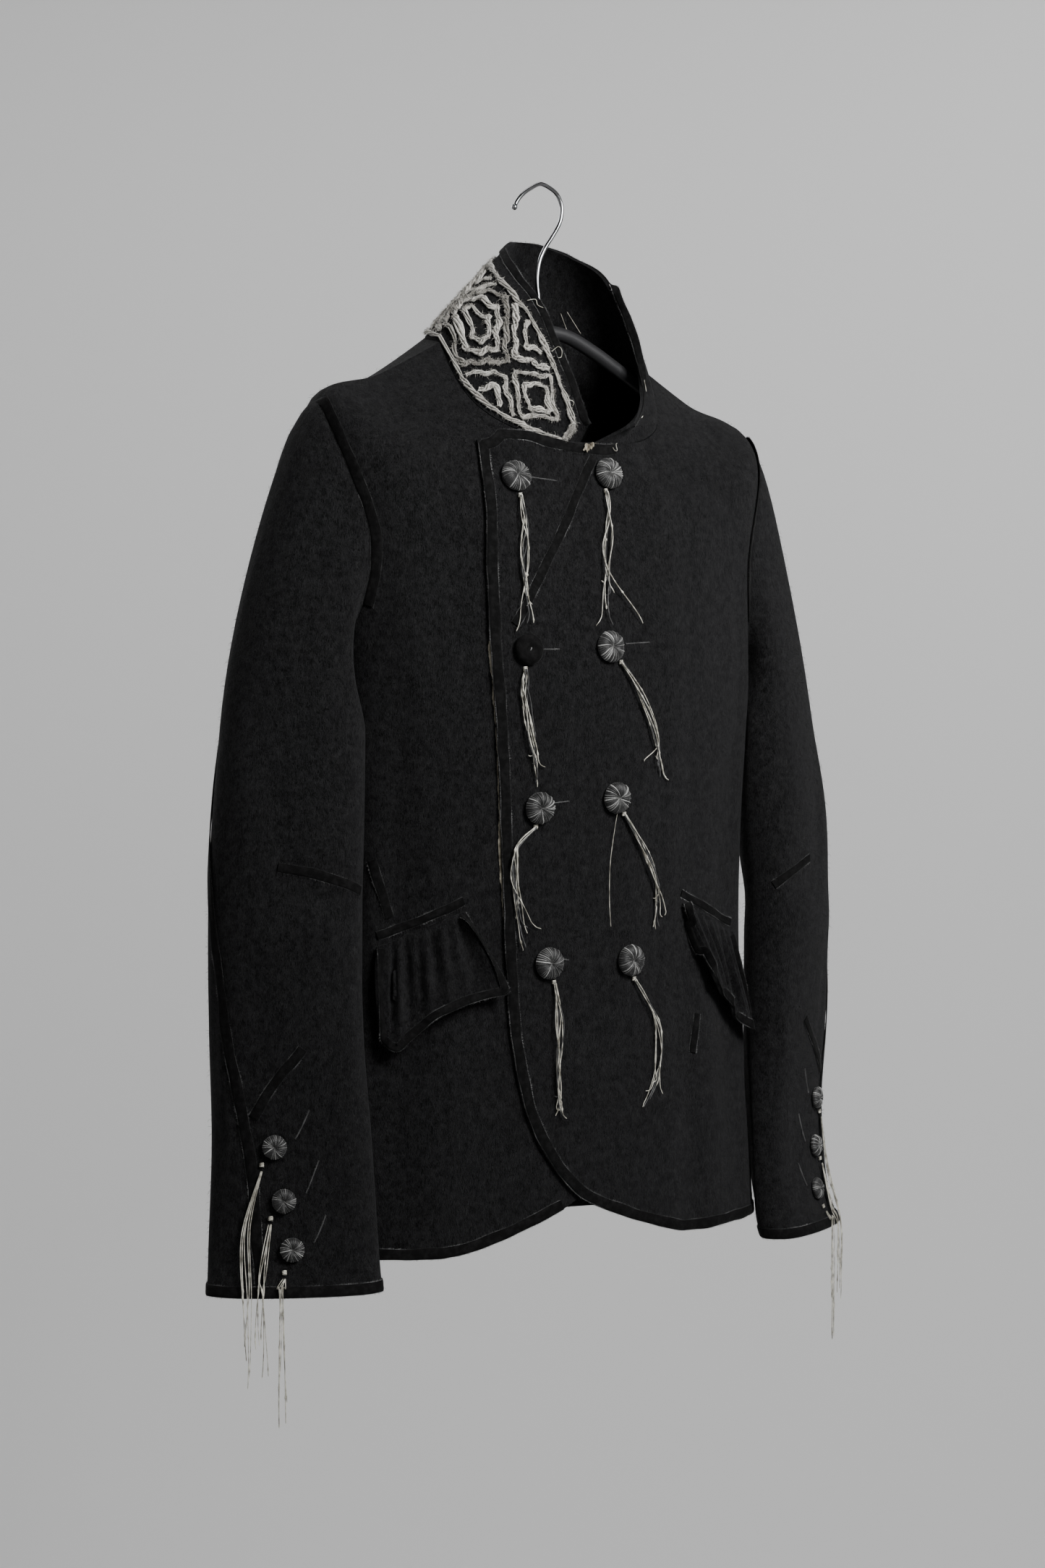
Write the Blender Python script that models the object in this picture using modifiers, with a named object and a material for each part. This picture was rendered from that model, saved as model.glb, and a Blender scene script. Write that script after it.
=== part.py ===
"""A double-breasted jacket of felted wool, hung on a plain hanger with a wire hook.

Metres, +Z up. The origin is the crest inside the hook, where a rail carries it. The jacket faces -Y and
its wearer's left is +X. "Level" is a height up the body, 0 at the hem and 10 at the neck, and "turn" is
the angle round the body, 0 at the centre front and +90 degrees at the wearer's left side. "Spin" is the
angle round a sleeve, 0 on its outer side and 90 degrees on the face that looks forward.
"""

import math

import bpy
import numpy as np
from mathutils import Vector
from mathutils.bvhtree import BVHTree

WALL = 0.0022  # felted wool
GAP = 0.0003  # between pieces that are sewn together
LAP_GAP = 0.0009  # under the left front, where it laps over the right
CENTRE_X = -0.02  # the two fronts mirror each other about this line
TAPE_WIDTH = 0.008
DART_TAPE_WIDTH = 0.007
NARROW_TAPE_WIDTH = 0.006
TAPE_THICK = 0.0009
TAPE_INSET = 0.0004  # from the cloth's very edge to the tape's
TAPE_LIFT = 0.0005  # of a tape that crosses a panel, clear of its facets
SLEEVE_LIFT = 0.0010
SEAM_LIFT = 0.0014
EDGE_LIFT = 0.0008  # of a tape along a cloth's edge
CROSS_LIFT = 0.0012  # of a tape that crosses tight curves
ROUND_LIFT = 0.0018  # of a tape round the armhole
FLAP_LIFT = 0.0017
COLLAR_LIFT = 0.0020
CORNER_LEAN = np.array((0.0, 0.0, 0.05))  # turns a tape's inward lead upward at a front's rounded corner
BUTTON_RADIUS = 0.012
BUTTON_HEIGHT = 0.0075
CUFF_BUTTON_SCALE = 0.73
BUTTON_STEPS = 12
CUFF_BUTTON_STEPS = 10
THREAD = 0.0012  # waxed thread
THREAD_OFF = 0.0030  # how far the threads stand off the cloth
HEAD_CELL = 0.00102  # a tassel's head, as the width of each of its cells and half its depth and height
HEAD_DEPTH = 0.001
HEAD_HEIGHT = 0.002
WIRE_RADIUS = 0.00165
HANGER_RADIUS = 0.0055
SIDES_OF_SLEEVE = 20
SLEEVE_CLEAR = 0.004  # between a sleeve's inner side and the body
SLEEVE_PRESS = 0.004  # over which a sleeve's inner side flattens against that line
UNDERARM, SHOULDER, NECK = 6.0, 8.0, 10.0

# One row a level. Heights at the side, centre front and centre back, then half the width, the depths
# before and behind the middle, how square the section is, and how soon its height leaves the side's.
LEVELS = np.array((
    # side_z, front_z, back_z, half_width, front_depth, back_depth, squareness, drop
    (-0.8160, -0.8160, -0.8170, 0.200, 0.080, 0.078, 0.80, 2.0),  # hem
    (-0.7600, -0.7600, -0.7600, 0.196, 0.079, 0.078, 0.80, 2.0),
    (-0.6900, -0.6900, -0.6900, 0.189, 0.077, 0.075, 0.80, 2.0),
    (-0.6000, -0.6000, -0.6000, 0.182, 0.075, 0.070, 0.80, 2.0),  # waist
    (-0.5100, -0.5150, -0.5100, 0.182, 0.079, 0.075, 0.80, 2.0),
    (-0.4300, -0.4400, -0.4300, 0.186, 0.084, 0.081, 0.80, 2.0),
    (-0.3700, -0.3900, -0.3600, 0.190, 0.086, 0.083, 0.80, 2.0),  # underarm
    (-0.2800, -0.3300, -0.2750, 0.197, 0.081, 0.078, 0.80, 1.8),
    (-0.1850, -0.2700, -0.2050, 0.204, 0.073, 0.068, 0.75, 1.2),  # shoulder tip
    (-0.1600, -0.2400, -0.1600, 0.148, 0.067, 0.062, 0.60, 0.7),
    (-0.1310, -0.2090, -0.1180, 0.094, 0.061, 0.051, 0.50, 0.45),  # neck
))

# The left front's edge, from the hem round its corner to the top of the lapel.
EDGE = np.array((
    # z, x
    (-0.8160, 0.0930),
    (-0.8070, 0.0500),
    (-0.7970, 0.0190),
    (-0.7830, -0.0143),
    (-0.7660, -0.0353),
    (-0.7437, -0.0521),
    (-0.7136, -0.0662),
    (-0.6840, -0.0734),
    (-0.5728, -0.0828),
    (-0.4678, -0.0907),
    (-0.3636, -0.0990),
    (-0.2000, -0.0960),
))

# The largest folds of the body, as soft ridges (+) and troughs (-) that run down it.
BODY_FOLDS = (
    # turn_deg, spread_deg, from_level, to_level, height
    (-74, 9, 0.0, 6.0, 0.0030),
    (-58, 8, 0.0, 4.6, -0.0030),
    (-44, 8, -1.0, 3.4, 0.0025),
    (-38, 9, 5.0, 9.4, -0.0030),
    (36, 9, -1.0, 3.6, 0.0030),
    (52, 8, 0.0, 5.4, -0.0032),
    (44, 10, 5.2, 9.4, -0.0028),
    (70, 9, 1.5, 6.6, 0.0030),
    (112, 9, -1.0, 5.6, 0.0035),
    (134, 10, 0.0, 7.0, -0.0040),
    (158, 11, -1.0, 4.6, 0.0038),
    (182, 10, 1.0, 8.0, -0.0030),
    (206, 12, -1.0, 5.0, 0.0038),
    (232, 10, 0.0, 6.8, -0.0038),
    (252, 8, -1.0, 5.0, 0.0030),
)

# Sections of a sleeve below the underarm. The broad face looks forward and a little outward, and the
# twist carries the grid's columns round, so that one of them follows the hind seam.
SLEEVES = np.array((
    # x, y, z, half_long, half_short, facing_deg, twist_deg
    (0.2270, -0.0070, -0.430, 0.0535, 0.0330, 30, 16),
    (0.2345, -0.0130, -0.500, 0.0555, 0.0310, 29, 36),
    (0.2385, -0.0160, -0.566, 0.0560, 0.0290, 28, 56),
    (0.2380, -0.0160, -0.650, 0.0565, 0.0270, 28, 80),
    (0.2330, -0.0160, -0.730, 0.0585, 0.0250, 28, 97),
    (0.2350, -0.0220, -0.800, 0.0615, 0.0235, 28, 104),
    (0.2400, -0.0325, -0.834, 0.0630, 0.0220, 28, 107),
))
SEAM_COLUMN = 18

SLEEVE_FOLDS = (
    # spin_deg, z, spread_deg, spread_z, height, slant (how fast the fold turns as it falls, in degrees a metre)
    (115, -0.545, 34, 0.016, -0.0036, 0),
    (100, -0.580, 38, 0.017, 0.0028, 0),
    (125, -0.615, 34, 0.015, -0.0030, 0),
    (60, -0.480, 18, 0.060, 0.0030, 120),
    (20, -0.640, 20, 0.070, -0.0028, -100),
    (250, -0.560, 34, 0.020, -0.0034, 0),
    (290, -0.700, 26, 0.060, 0.0030, 90),
    (110, -0.760, 18, 0.050, -0.0026, 60),
)

# The collar stands on the neck edge. Its free edge is given column by column, from the wearer's right
# front end round the back of the neck to the left front end.
COLLAR = np.array((
    # seam_turn_deg, edge_x, edge_y, edge_z, bulge
    (-4, -0.0050, -0.0720, -0.1940, 0.0000),
    (-30, -0.0110, -0.0600, -0.1600, 0.0020),
    (-52, -0.0170, -0.0470, -0.1280, 0.0040),
    (-70, -0.0220, -0.0320, -0.0980, 0.0050),
    (-92, -0.0270, -0.0100, -0.0720, 0.0050),
    (-125, -0.0200, 0.0180, -0.0500, 0.0040),
    (-155, -0.0080, 0.0310, -0.0405, 0.0040),
    (-180, 0.0040, 0.0360, -0.0375, 0.0040),
    (-210, 0.0240, 0.0330, -0.0385, 0.0050),
    (-240, 0.0450, 0.0180, -0.0480, 0.0060),
    (-268, 0.0620, -0.0010, -0.0650, 0.0060),
    (-290, 0.0760, -0.0080, -0.0980, 0.0050),
    (-310, 0.0790, -0.0220, -0.1350, 0.0040),
    (-332, 0.0660, -0.0460, -0.1680, 0.0020),
    (-356, 0.0400, -0.0700, -0.1920, 0.0000),
))
COLLAR_WALL = 0.0024
COLLAR_ROWS = (0.0, 0.22, 0.48, 0.75, 1.0)

# Front buttons, as their places on the chest.
BUTTONS = (
    # name, x, z
    ("button_right_1", -0.0707, -0.2396),
    ("button_right_2", -0.0707, -0.3682),
    ("button_right_3", -0.0587, -0.4854),
    ("button_right_4", -0.0469, -0.6021),
    ("button_left_1", 0.0135, -0.2318),
    ("button_left_2", 0.0011, -0.3646),
    ("button_left_3", 0.0094, -0.4781),
    ("button_left_4", 0.0274, -0.6026),
)
CUFF_BUTTONS = (
    # z, spin_deg
    (-0.728, 80),
    (-0.764, 85),
    (-0.801, 89),
)

# The tassel under each front button: where it starts, two places that it hangs through, where its main
# threads end and where its stray thread ends.
TASSELS = (
    # name, start_x, start_z, knee_x, knee_z, low_x, low_z, end_x, end_z, stray_x, stray_z
    ("right_1", -0.0692, -0.2535, -0.0700, -0.2780, -0.0715, -0.3060, -0.0668, -0.3490, -0.0786, -0.3560),
    ("right_2", -0.0735, -0.3825, -0.0735, -0.4000, -0.0680, -0.4350, -0.0615, -0.4700, -0.0580, -0.4560),
    ("right_3", -0.0610, -0.4995, -0.0745, -0.5150, -0.0772, -0.5420, -0.0709, -0.5930, -0.0575, -0.5780),
    ("right_4", -0.0425, -0.6165, -0.0398, -0.6447, -0.0410, -0.6850, -0.0370, -0.7210, -0.0440, -0.7150),
    ("left_1", 0.0095, -0.2455, 0.0075, -0.2700, 0.0020, -0.3050, -0.0077, -0.3510, 0.0340, -0.3460),
    ("left_2", 0.0110, -0.3760, 0.0290, -0.4000, 0.0460, -0.4350, 0.0600, -0.4660, 0.0300, -0.4520),
    ("left_3", 0.0175, -0.4905, 0.0380, -0.5190, 0.0520, -0.5467, 0.0504, -0.5812, 0.0670, -0.5715),
    ("left_4", 0.0310, -0.6170, 0.0520, -0.6520, 0.0520, -0.6900, 0.0335, -0.7174, 0.0593, -0.7075),
)
CUFF_TASSELS = (
    # start_z, start_spin_deg, low_z, low_spin_deg, end_z
    (-0.7400, 71, -0.785, 60, -0.8980),
    (-0.7760, 77, -0.815, 71, -0.8900),
    (-0.8130, 85, -0.825, 83, -0.9260),
)
STRANDS = 5
CUFF_STRANDS = 4
CUFF_THREAD_OFF = 0.0036
CUFF_END = -0.834

# Pocket flaps, from their hind end (0) to their front end (1), the seam above and the wavy edge below.
FLAP_RIGHT = np.array((
    # seam_x, seam_z, edge_x, edge_z, lift
    (-0.1700, -0.5870, -0.1720, -0.6570, 0.0060),
    (-0.1610, -0.5830, -0.1600, -0.6640, 0.0110),
    (-0.1500, -0.5770, -0.1440, -0.6500, 0.0050),
    (-0.1370, -0.5715, -0.1300, -0.6370, 0.0090),
    (-0.1250, -0.5665, -0.1110, -0.6290, 0.0060),
    (-0.1140, -0.5620, -0.0815, -0.6230, 0.0120),
))
FLAP_LEFT = np.array((
    (0.1560, -0.5870, 0.1720, -0.6660, 0.0050),
    (0.1440, -0.5830, 0.1640, -0.6650, 0.0110),
    (0.1280, -0.5775, 0.1500, -0.6560, 0.0060),
    (0.1120, -0.5715, 0.1370, -0.6460, 0.0090),
    (0.0970, -0.5660, 0.1240, -0.6350, 0.0060),
    (0.0840, -0.5610, 0.1100, -0.6230, 0.0100),
))
FLAP_ROWS = (0.0, 0.2, 0.4, 0.6, 0.8, 1.0)
FLAP_PUCKER = 0.0016

# The hook's centre line, from its tip over the crest and down to the hanger, in the plane Y = 0.
HOOK = (
    # x, z
    (-0.0256, -0.0215),
    (-0.0225, -0.0150),
    (-0.0170, -0.0085),
    (-0.0095, -0.0030),
    (0.0000, 0.00165),
    (0.0095, -0.0005),
    (0.0165, -0.0050),
    (0.0205, -0.0130),
    (0.0203, -0.0210),
    (0.0175, -0.0290),
    (0.0110, -0.0390),
    (0.0040, -0.0490),
    (-0.0010, -0.0600),
    (-0.0030, -0.0740),
    (-0.0015, -0.0900),
    (0.0000, -0.1060),
)
HANGER = (
    # x, z of the right half's centre line
    (0.0000, -0.1134),
    (0.0250, -0.1154),
    (0.0500, -0.1249),
    (0.0750, -0.1374),
    (0.1000, -0.1504),
    (0.1250, -0.1619),
    (0.1500, -0.1729),
    (0.1750, -0.1839),
    (0.1880, -0.1899),
)

BLACK_WOOL = (0.016, 0.016, 0.017)
BLACK_VELVET = (0.004, 0.004, 0.004)
GREY_THREAD = (0.060, 0.060, 0.060)
IVORY_THREAD = (0.62, 0.58, 0.48)
CHROME = (0.70, 0.70, 0.72)


def unit(vectors):
    """The vectors at length 1."""
    return vectors / np.linalg.norm(vectors, axis=-1, keepdims=True)


def ease(share):
    """0 below 0, 1 above 1, and a smooth rise between."""
    share = np.clip(share, 0.0, 1.0)
    return share * share * (3.0 - 2.0 * share)


def rows_at(table, where):
    """A table's columns at fractional row numbers, on the smooth curve through its rows."""
    where = np.clip(np.asarray(where, float), 0.0, len(table) - 1.0)
    first = np.minimum(where.astype(int), len(table) - 2)
    share = (where - first)[..., None]
    before, low, high, after = [table[np.clip(first + k, 0, len(table) - 1)] for k in (-1, 0, 1, 2)]
    straight = 2.0 * low + share * (high - before)
    bent = share**2 * (2.0 * before - 5.0 * low + 4.0 * high - after)
    return 0.5 * (straight + bent + share**3 * (3.0 * low - before - 3.0 * high + after))


def columns(table, where):
    return np.moveaxis(rows_at(table, where), -1, 0)


def body_folds(level, turn):
    """How far the folds carry the cloth outward at each level and turn."""
    total = np.zeros(np.broadcast(level, turn).shape)
    degrees = np.degrees(turn)
    for middle, spread, low, high, height in BODY_FOLDS:
        apart = (degrees - middle + 180.0) % 360.0 - 180.0
        along = ease(level - low) * ease(high - level)
        total = total + height * along * np.exp(-((apart / spread) ** 2))
    return total


def body(level, turn):
    """Points on the cloth's outer face. Each level is a squared oval whose height changes on the way round."""
    side_z, front_z, back_z, width, front, back, square, drop = columns(LEVELS, level)
    ahead = np.cos(turn)
    reach = np.abs(ahead) + 1e-12
    y = np.where(ahead > 0.0, -front, back) * reach**square
    end_z = np.where(ahead > 0.0, front_z, back_z)
    x = width * np.sin(turn)
    z = side_z + (end_z - side_z) * reach**drop
    out = unit(np.stack([x / width**2, y / np.where(ahead > 0.0, front, back) ** 2], -1))
    fold = body_folds(level, turn)
    return np.stack([x + fold * out[..., 0], y + fold * out[..., 1], z], -1)


def body_normal(level, turn):
    step = 0.004
    along = body(level, turn + step) - body(level, turn - step)
    rise = body(np.minimum(level + step, NECK), turn) - body(np.maximum(level - step, 0.0), turn)
    return unit(np.cross(along, rise))


def armhole_turn(level, widest_deg):
    """How far from the side line the armhole's edge lies at each level, in radians."""
    share = np.clip((level - UNDERARM) / (SHOULDER - UNDERARM), 0.0, 1.0)
    return math.radians(widest_deg) * np.sin(math.pi * share) ** 0.6


def front_of_armhole(level):
    return math.pi / 2 - armhole_turn(level, 24.0)


def back_of_armhole(level):
    return math.pi / 2 + armhole_turn(level, 20.0)


def rim_direction(level, turn):
    """The wall's direction at the armhole, between the body's outward normal and the sleeve's."""
    spoke = body(level, turn) - np.array((0.0, 0.0, -0.285))
    spoke[..., 0] = 0.0
    return unit(unit(spoke) + 0.6 * body_normal(level, turn))


def front_level_z(level):
    return columns(LEVELS, level)[1]


def wall_of_body(level, turn, armhole_columns, lift=0.0):
    """Outer and inner points of a panel, whose borders are drawn back from the seams by half a gap."""
    normal = body_normal(level, turn)
    outer = body(level, turn) + normal * np.asarray(lift)[..., None]
    direction = normal.copy()
    for column in armhole_columns:
        rows = (level[:, column] >= UNDERARM - 1e-9) & (level[:, column] <= SHOULDER + 1e-9)
        direction[rows, column] = rim_direction(level[rows, column], turn[rows, column])
    inner = outer - direction * WALL
    for end, beside in ((0, 1), (-1, -2)):
        shift = 0.5 * GAP * unit(outer[:, beside] - outer[:, end])
        outer[:, end] += shift
        inner[:, end] += shift
        shift = 0.5 * GAP * unit(outer[beside] - outer[end])
        outer[end] += shift
        inner[end] += shift
    return outer, inner


LOW_LEVELS = (0.0, 0.16, 0.34, 0.58, 0.88, 1.24, 1.62, 2.0, 2.6, 3.2, 3.8, 4.5, 5.2)
BACK_LEVELS = (0.0, 0.6, 1.3, 2.0, 2.8, 3.6, 4.4, 5.2)
ARM_LEVELS = (6.0, 6.06, 6.24, 6.5, 6.78, 7.06, 7.34, 7.6, 7.82, 7.95, 8.0)
TOP_LEVELS = (8.35, 8.75, 9.15, 9.55, 10.0)
FRONT_COLUMNS = 12
BACK_COLUMNS = 18


def front_panel(side):
    """Levels, turns and walls of one front. side is +1 for the wearer's left and -1 for the right."""
    level = np.array(LOW_LEVELS + ARM_LEVELS + TOP_LEVELS)
    width = columns(LEVELS, level)[3]
    edge_x = np.interp(front_level_z(level), EDGE[:, 0], EDGE[:, 1])
    near_neck = 0.030 * ease((level - SHOULDER) / 2.0)
    if side < 0:
        edge_x = edge_x - 2.0 * CENTRE_X + near_neck
    share = np.linspace(0.0, 1.0, FRONT_COLUMNS + 1)
    grid = np.repeat(level[:, None], FRONT_COLUMNS + 1, axis=1)
    edge = np.arcsin(np.clip(edge_x / width, -0.72, 0.72))
    turn = edge[:, None] + (front_of_armhole(level) - edge)[:, None] * share
    if side > 0:
        # The lapel's top lies lower than the neck edge, more so towards the front edge.
        top = 1.0 - 0.36 * (1.0 - ease((np.sin(turn[-1]) * width[-1] + 0.075) / 0.05))
        above = grid > SHOULDER
        grid = np.where(above, SHOULDER + (grid - SHOULDER) * top, grid)
        edge_width = columns(LEVELS, grid)[3]
        lapel = np.arcsin(np.clip(edge_x[:, None] / edge_width, -0.9, 0.9))
        turn = np.where(above, lapel + (front_of_armhole(grid) - lapel) * share, turn)
    x = np.sin(turn) * columns(LEVELS, grid)[3]
    lap_end = 0.064 - near_neck[:, None]
    lift = (WALL + LAP_GAP) * (1.0 - ease((x - lap_end) / 0.030)) if side > 0 else 0.0 * x
    return (*wall_of_body(grid, side * turn, (-1,), lift), side * turn[-1])


def back_panel():
    level = np.array(BACK_LEVELS + ARM_LEVELS + TOP_LEVELS)
    start = back_of_armhole(level)
    share = np.linspace(0.0, 1.0, BACK_COLUMNS + 1)
    turn = start[:, None] + (2.0 * (math.pi - start))[:, None] * share
    return (*wall_of_body(np.repeat(level[:, None], BACK_COLUMNS + 1, axis=1), turn, (0, -1)), turn[-1])


def grid_normals(points, closed=False):
    """Normals of a grid of points, whose columns run all round when it is closed."""
    if closed:
        along = np.roll(points, -1, axis=1) - np.roll(points, 1, axis=1)
    else:
        along = np.gradient(points, axis=1)
    return unit(np.cross(along, np.gradient(points, axis=0)))


def body_side_x(y, z):
    """Half the body's width at this depth and height, from the same ovals as the panels."""
    width = np.interp(z, LEVELS[:7, 0], LEVELS[:7, 3])
    depth = np.interp(z, LEVELS[:7, 0], LEVELS[:7, 4])
    return width * np.sqrt(np.clip(1.0 - (np.abs(y) / depth) ** 2.5, 0.0, 1.0))


def signed_power(value, power):
    return np.sign(value) * np.abs(value) ** power


def sleeve_ring(side, row, spin):
    """Points round a sleeve at a fractional row of its table, at spins counted from its outer side."""
    x, y, z, half_long, half_short, facing, twist = columns(SLEEVES, row)
    spin = spin + np.radians(twist)
    rise = np.zeros(np.broadcast(spin, z).shape)
    for middle, fold_z, spread, spread_z, height, slant in SLEEVE_FOLDS:
        centre = middle + slant * (fold_z - z)
        apart = (np.degrees(spin) - centre + 180.0) % 360.0 - 180.0
        rise = rise + height * np.exp(-((apart / spread) ** 2) - ((z - fold_z) / spread_z) ** 2)
    across = (half_long + rise) * signed_power(np.cos(spin), 0.85)
    ahead = (half_short + rise) * signed_power(np.sin(spin), 0.85)
    facing = np.radians(facing)
    from_centre = x + across * np.cos(facing) + ahead * np.sin(facing)
    depth = y + across * np.sin(facing) - ahead * np.cos(facing)
    height = z + 0.0 * spin
    least = body_side_x(depth, height) + SLEEVE_CLEAR
    apart = from_centre - least
    from_centre = least + 0.5 * (apart + np.sqrt(apart**2 + SLEEVE_PRESS**2))
    return np.stack([side * from_centre, depth, height], -1)


CAP_STEPS = (0.14, 0.30, 0.48, 0.66, 0.83)
SLEEVE_ROWS = np.array((0.0, 0.5, 1.0, 1.33, 1.66, 2.0, 2.33, 2.66, 3.0, 3.5, 4.0, 4.5, 5.0, 5.5, 6.0))


def sleeve_wall(side):
    """Outer and inner rings of a sleeve: a cap that leaves the armhole, then the sections below it."""
    down = np.array(ARM_LEVELS[::-1])
    level = np.concatenate([down, np.array(ARM_LEVELS[1:-1])])
    turn = side * np.concatenate([front_of_armhole(down), back_of_armhole(np.array(ARM_LEVELS[1:-1]))])
    seam = body(level, turn)
    rim = rim_direction(level, turn)
    leave = unit(np.array((side * 1.0, 0.0, -0.34)) + 0.0 * seam)
    start = seam + leave * 1.5 * GAP
    spin = np.arange(SIDES_OF_SLEEVE) * 2.0 * math.pi / SIDES_OF_SLEEVE
    target = sleeve_ring(side, 0.0, spin)
    fall = unit(sleeve_ring(side, 0.1, spin) - target)
    reach = np.linalg.norm(target - start, axis=-1, keepdims=True)
    out_of_seam = leave * (0.22 * reach + 0.012)
    into_sleeve = fall * reach
    rings = [start]
    for share in CAP_STEPS:
        square, cube = share**2, share**3
        rings.append(
            (2.0 * cube - 3.0 * square + 1.0) * start
            + (cube - 2.0 * square + share) * out_of_seam
            + (3.0 * square - 2.0 * cube) * target
            + (cube - square) * into_sleeve
        )
    rings.extend(sleeve_ring(side, row, spin) for row in SLEEVE_ROWS)
    outer = np.array(rings)
    normal = grid_normals(outer, closed=True) * side
    middle = outer.mean(axis=1, keepdims=True)
    if ((outer - middle) * normal).sum() < 0.0:
        normal = -normal
    normal[0] = rim
    return outer, outer - normal * WALL


def collar_wall(turn):
    """Outer and inner points of the collar, over the same turns as the columns of the panels that carry it."""
    where = np.interp(-np.degrees(turn), -COLLAR[:, 0], np.arange(len(COLLAR)))
    _, edge_x, edge_y, edge_z, bulge = columns(COLLAR, where)
    base = body(np.full_like(turn, NECK), turn)
    out = unit(np.stack([np.sin(turn), -np.cos(turn), 0.0 * turn], -1))
    base[:, 2] += 2.0 * GAP
    edge = np.stack([edge_x, edge_y, edge_z], -1)
    rows = [
        base + (edge - base) * share + out * (4.0 * share * (1.0 - share) * bulge)[:, None]
        for share in COLLAR_ROWS
    ]
    outer = np.array(rows)
    normal = grid_normals(outer)
    if (normal[0] * out).sum() < 0.0:
        normal = -normal
    normal[0] = out
    return outer, outer - normal * COLLAR_WALL


def triangles(rows, count, closed=False):
    """Triangles of a grid of points, two a cell."""
    faces = []
    for row in range(rows - 1):
        for column in range(count if closed else count - 1):
            a = row * count + column
            b = row * count + (column + 1) % count
            faces.append((a, b, b + count))
            faces.append((a, b + count, a + count))
    return faces


def clear_scene():
    for item in list(bpy.data.objects):
        bpy.data.objects.remove(item, do_unlink=True)


clear_scene()
JACKET = bpy.data.collections.new("napoleon_jacket")
bpy.context.scene.collection.children.link(JACKET)
ROOT = bpy.data.objects.new("napoleon_jacket_root", None)
JACKET.objects.link(ROOT)


def finish(name, colour, roughness, metallic=0.0):
    """A plain Principled material."""
    material = bpy.data.materials.new(name)
    material.use_nodes = True
    shader = material.node_tree.nodes["Principled BSDF"]
    shader.inputs["Base Color"].default_value = (*colour, 1.0)
    shader.inputs["Roughness"].default_value = roughness
    shader.inputs["Metallic"].default_value = metallic
    material.diffuse_color = (*colour, 1.0)
    return material


WOOL = finish("black_felted_wool", BLACK_WOOL, 0.95)
VELVET = finish("black_velvet_tape", BLACK_VELVET, 0.90)
WOUND = finish("grey_button_thread", GREY_THREAD, 0.70)
IVORY = finish("ivory_waxed_thread", IVORY_THREAD, 0.55)
STEEL = finish("chromed_wire", CHROME, 0.15, 1.0)
HANGER_FINISH = finish("black_hanger", (0.02, 0.02, 0.02), 0.45)


def add(name, points, faces, material):
    """A named mesh object from points and faces, with its faces turned to point out."""
    points = np.asarray(points, float).reshape(-1, 3)
    triples = np.array([(f[0], f[k], f[k + 1]) for f in faces for k in range(1, len(f) - 1)])
    a, b, c = (points[triples[:, k]] for k in range(3))
    if np.einsum("ij,ij->i", a, np.cross(b, c)).sum() < 0.0:
        faces = [tuple(reversed(f)) for f in faces]
    mesh = bpy.data.meshes.new(name)
    mesh.from_pydata([tuple(p) for p in points], [], faces)
    mesh.materials.append(material)
    mesh.shade_smooth()
    mesh.set_sharp_from_angle(angle=math.radians(50.0))
    made = bpy.data.objects.new(name, mesh)
    JACKET.objects.link(made)
    made.parent = ROOT


def add_wall(name, outer, inner, material, closed=False):
    """A cloth wall lofted between its outer and inner grids. Gives a tree that finds points on its outer face."""
    rows, count = outer.shape[:2]
    total = rows * count
    face = triangles(rows, count, closed)
    faces = face + [(a + total, c + total, b + total) for a, b, c in face]
    round_steps = count if closed else count - 1
    for column in range(round_steps):
        beside = (column + 1) % count
        faces.append((column, column + total, beside + total, beside))
        a, b = (rows - 1) * count + column, (rows - 1) * count + beside
        faces.append((a, b, b + total, a + total))
    if not closed:
        for row in range(rows - 1):
            a, b = row * count, (row + 1) * count
            faces.append((a, b, b + total, a + total))
            a, b = a + count - 1, b + count - 1
            faces.append((a, a + total, b + total, b))
    add(name, np.concatenate([outer.reshape(-1, 3), inner.reshape(-1, 3)]), faces, material)
    return BVHTree.FromPolygons([tuple(p) for p in outer.reshape(-1, 3)], face)


def nearest(tree, point, toward):
    """The nearest point of a cloth face, and the face's normal on the side that toward looks to."""
    place, normal, _, _ = tree.find_nearest(Vector(point))
    normal = np.array(normal)
    return np.array(place), normal if np.dot(normal, toward) > 0.0 else -normal


def on_front(tree, x, z):
    """The point of a front that lies behind (x, z) as seen from the front, and its normal."""
    place, normal, _, _ = tree.ray_cast(Vector((x, -1.0, z)), Vector((0.0, 1.0, 0.0)))
    normal = np.array(normal)
    return np.array(place), normal if normal[1] < 0.0 else -normal


def add_tape(name, first, second, normals, lift, closed=False):
    """A flat tape between two lines of points on the cloth, raised off it along the normals."""
    first, second, normals = (np.asarray(part, float) for part in (first, second, normals))
    low, high = normals * lift, normals * (lift + TAPE_THICK)
    sections = np.stack([first + low, second + low, second + high, first + high], axis=1)
    rows = len(sections)
    faces = []
    for row in range(rows if closed else rows - 1):
        after = (row + 1) % rows
        for corner in range(4):
            beside = (corner + 1) % 4
            faces.append((4 * row + corner, 4 * row + beside, 4 * after + beside, 4 * after + corner))
    if not closed:
        faces.append((3, 2, 1, 0))
        last = 4 * (rows - 1)
        faces.append((last, last + 1, last + 2, last + 3))
    add(name, sections, faces, VELVET)


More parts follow.
